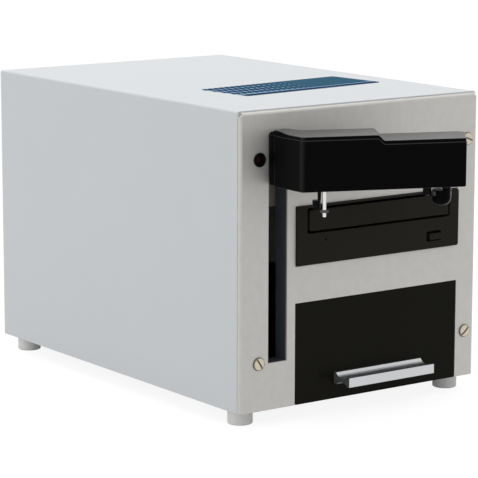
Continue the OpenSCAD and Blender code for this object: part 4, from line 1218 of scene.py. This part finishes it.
@dataclass
class PanScrews:
    """Pan-head screws with a cross recess: one is modelled, and set wherever the CAD has one."""

    node: str = "case_screws"
    shank: float = 1.5 * MM
    head: tuple[float, float] = (3.2 * MM, 1.8 * MM)
    dome: tuple[tuple[float, float], ...] = (
        (0.97, 0.0), (1.0, 0.1), (1.0, 0.35), (0.95, 0.6), (0.83, 0.8), (0.6, 0.94), (0.25, 1.0),
    )
    recess: tuple[float, float, float] = (0.8 * MM, 3.8 * MM, 1.0 * MM)
    turn_step: float = 37.0

    def spots(self) -> list[Vector]:
        """Where the CAD's screws sit.

        Returns:
            The middle of each one's box, in a fixed order.
        """
        others = set(bpy.data.objects)
        piece = Bench.copy_node(self.node, "screw_spots")
        with Bench.edit(piece):
            bpy.ops.mesh.separate(type="LOOSE")
        found = []
        for single in set(bpy.data.objects) - others:
            corners = [Vector(c) for c in single.bound_box]
            found.append((corners[0] + corners[6]) / 2)
            bpy.data.objects.remove(single, do_unlink=True)
        return sorted(found, key=lambda p: (round(p.x, 4), round(p.z, 4)))

    def build(self) -> None:
        """Turn one screw, cut its recess and set the others like it."""
        spots = self.spots()
        low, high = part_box(self.node)
        radius, height = self.head
        seat = high.y - low.y - height
        stations = [(self.shank, 0.0), (self.shank, seat)]
        stations += [(radius * r, seat + height * h) for r, h in self.dome]
        base = Vector((spots[0].x, low.y, spots[0].z))
        first = Bench.turned("case_screw", stations, base, Vector((0, 1, 0)), 32)
        width, length, depth = self.recess
        top = Vector((base.x, high.y, base.z))
        for across, upward in ((width, length), (length, width)):
            reach = Vector((across / 2, depth, upward / 2))
            Bench.cut(first, Bench.block("recess", top - reach, top + reach))
        screws = [first]
        for i, spot in enumerate(spots[1:], 1):
            turn = Matrix.Rotation(math.radians(self.turn_step * i), 4, "Y")
            move = Matrix.Translation(spot) @ turn @ Matrix.Translation(-spots[0])
            screw = Bench.copied(first.data, f"case_screw_{i}")
            screw.matrix_world = move
            Bench.settle(screw)
            screws.append(screw)
        piece = Bench.join("case_screws_domed", screws)
        Bench.smooth(piece)
        dress(piece, Slot.STEEL, "cabinet", self.node)


@dataclass
class BackSide(Assembly):
    """Fan, mains inlet, data socket and screws at the back."""

    parts: list[Eased] = field(default_factory=lambda: [
        Eased("fan_frame", Slot.BLACK, 0.4 * MM),
        Eased("fan_guard", Slot.STEEL, 0.4 * MM),
        Eased("power_inlet", Slot.BLACK, 0.4 * MM),
        Eased("power_rocker", Slot.BLACK, 0.4 * MM, "rocker"),
        Eased("usb_port", Slot.STEEL, 0.2 * MM),
    ])

    def build(self) -> None:
        """Make every piece of the back that shows."""
        super().build()
        PanScrews().build()


class Inside:
    """CAD nodes whose shape is right as it is."""

    @staticmethod
    def build() -> None:
        """Give every CAD node that still shows the finish of its slot."""
        for name, node in frame["nodes"].items():
            if node.hide_render:
                continue
            slot = Slot(node.material_slots[0].material.name.split(".")[0])
            node.material_slots[0].material = FINISHES[slot].material()
            LOG.info("node %s keeps its shape with finish %s", name, FINISHES[slot].name)


@dataclass(frozen=True)
class Softbox:
    """A square soft lamp: where it hangs and points, its side in metres and its power in watts."""

    name: str
    place: tuple[float, float, float]
    target: tuple[float, float, float]
    size: float
    power: float

    def build(self) -> None:
        """Hang the lamp."""
        data = bpy.data.lights.new(self.name, "AREA")
        data.size = self.size
        data.energy = self.power
        lamp = bpy.data.objects.new(self.name, data)
        bpy.context.scene.collection.objects.link(lamp)
        aim = (Vector(self.target) - Vector(self.place)).to_track_quat("-Z", "Y")
        lamp.matrix_world = Matrix.Translation(self.place) @ aim.to_matrix().to_4x4()


@dataclass
class Studio:
    """Pale floor, soft lamps, a white world and the photograph's camera."""

    eye: tuple[float, float, float] = (-1.04356, -1.41642, 0.42468)
    azimuth: float = -35.802
    elevation: float = 10.2404
    roll: float = 0.10386
    focal_px: float = 2365.38
    image_px: float = 478.0
    sensor: float = 36.0
    far: float = 100.0
    ambient: float = 0.55
    floor_glow: float = 0.88
    floor_tone: float = 0.22
    floor_bounce: float = 0.68
    floor_size: float = 12.0
    floor_at: float = -0.3 * MM
    lamps: tuple[Softbox, ...] = (
        Softbox("top_softbox", (0.2, 0.3, 2.0), (0.0, 0.05, 0.1), 2.4, 16.0),
        Softbox("left_softbox", (-2.2, 0.3, 1.0), (0.0, 0.0, 0.12), 1.8, 8.0),
    )

    def build(self) -> None:
        """Set up camera, world, floor and lamps."""
        self.camera()
        self.world()
        self.floor()
        for lamp in self.lamps:
            lamp.build()
        bpy.context.scene.view_settings.view_transform = "Standard"

    def camera(self) -> None:
        """The camera at the photograph's viewing angle."""
        data = bpy.data.cameras.new("photo_camera")
        data.sensor_width = self.sensor
        data.lens = self.focal_px / self.image_px * self.sensor
        data.clip_end = self.far
        camera = bpy.data.objects.new("photo_camera", data)
        bpy.context.scene.collection.objects.link(camera)
        turn = Matrix.Rotation(math.radians(self.azimuth), 4, "Z")
        tilt = Matrix.Rotation(math.radians(90.0 - self.elevation), 4, "X")
        lean = Matrix.Rotation(math.radians(self.roll), 4, "Z")
        camera.matrix_world = Matrix.Translation(self.eye) @ turn @ tilt @ lean
        bpy.context.scene.camera = camera

    @staticmethod
    def grey(level: float) -> tuple[float, ...]:
        """An opaque grey."""
        return (level, level, level, 1.0)

    @staticmethod
    def part(tree: Tree, lit: bpy.types.Node, seen: bpy.types.Node, output: str) -> None:
        """End a tree in one shader as a light, and another for camera, glossy and transmission rays.

        Args:
            tree: the tree to end.
            lit: the shader as a light.
            seen: the shader to look at.
            output: type name of the output node.
        """
        rays = tree.add("ShaderNodeLightPath").outputs
        share = rays["Is Camera Ray"]
        for name in ("Is Glossy Ray", "Is Transmission Ray"):
            share = tree.add("ShaderNodeMath", {0: share, 1: rays[name]}, operation="MAXIMUM").outputs[0]
        mix = tree.add("ShaderNodeMixShader", {0: share, 1: lit.outputs[0], 2: seen.outputs[0]})
        tree.add(output, {0: mix.outputs[0]})

    def world(self) -> None:
        """White to look at, softer as a light."""
        world = bpy.data.worlds.new("white_room")
        world.use_nodes = True
        bpy.context.scene.world = world
        tree = Tree(world.node_tree)
        white = self.grey(1.0)
        light = tree.add("ShaderNodeBackground", {"Color": white, "Strength": self.ambient})
        room = tree.add("ShaderNodeBackground", {"Color": white})
        self.part(tree, light, room, "ShaderNodeOutputWorld")

    def floor(self) -> None:
        """A pale floor that keeps a soft shadow."""
        Bench.clear()
        bpy.ops.mesh.primitive_plane_add(size=self.floor_size, location=(0, 0, self.floor_at))
        floor = bpy.context.object
        floor.name = "floor"
        material = bpy.data.materials.new("pale_floor")
        material.use_nodes = True
        tree = Tree(material.node_tree)
        matt = tree.add("ShaderNodeBsdfDiffuse", {"Color": self.grey(self.floor_bounce)})
        veil = tree.add("ShaderNodeBsdfDiffuse", {"Color": self.grey(self.floor_tone)})
        glow = tree.add("ShaderNodeEmission", {"Strength": self.floor_glow})
        both = tree.add("ShaderNodeAddShader", {0: veil.outputs[0], 1: glow.outputs[0]})
        self.part(tree, matt, both, "ShaderNodeOutputMaterial")
        floor.data.materials.append(material)


def main() -> None:
    """Build the station piece by piece, then its studio."""
    logging.basicConfig(level=logging.INFO, format="%(message)s")
    Studio().build()
    for assembly in (Cabinet(), Arm(), Drive(), Drawer(), BackSide(), Inside()):
        assembly.build()
    Bench.clear()


if __name__ == "__main__":
    main()
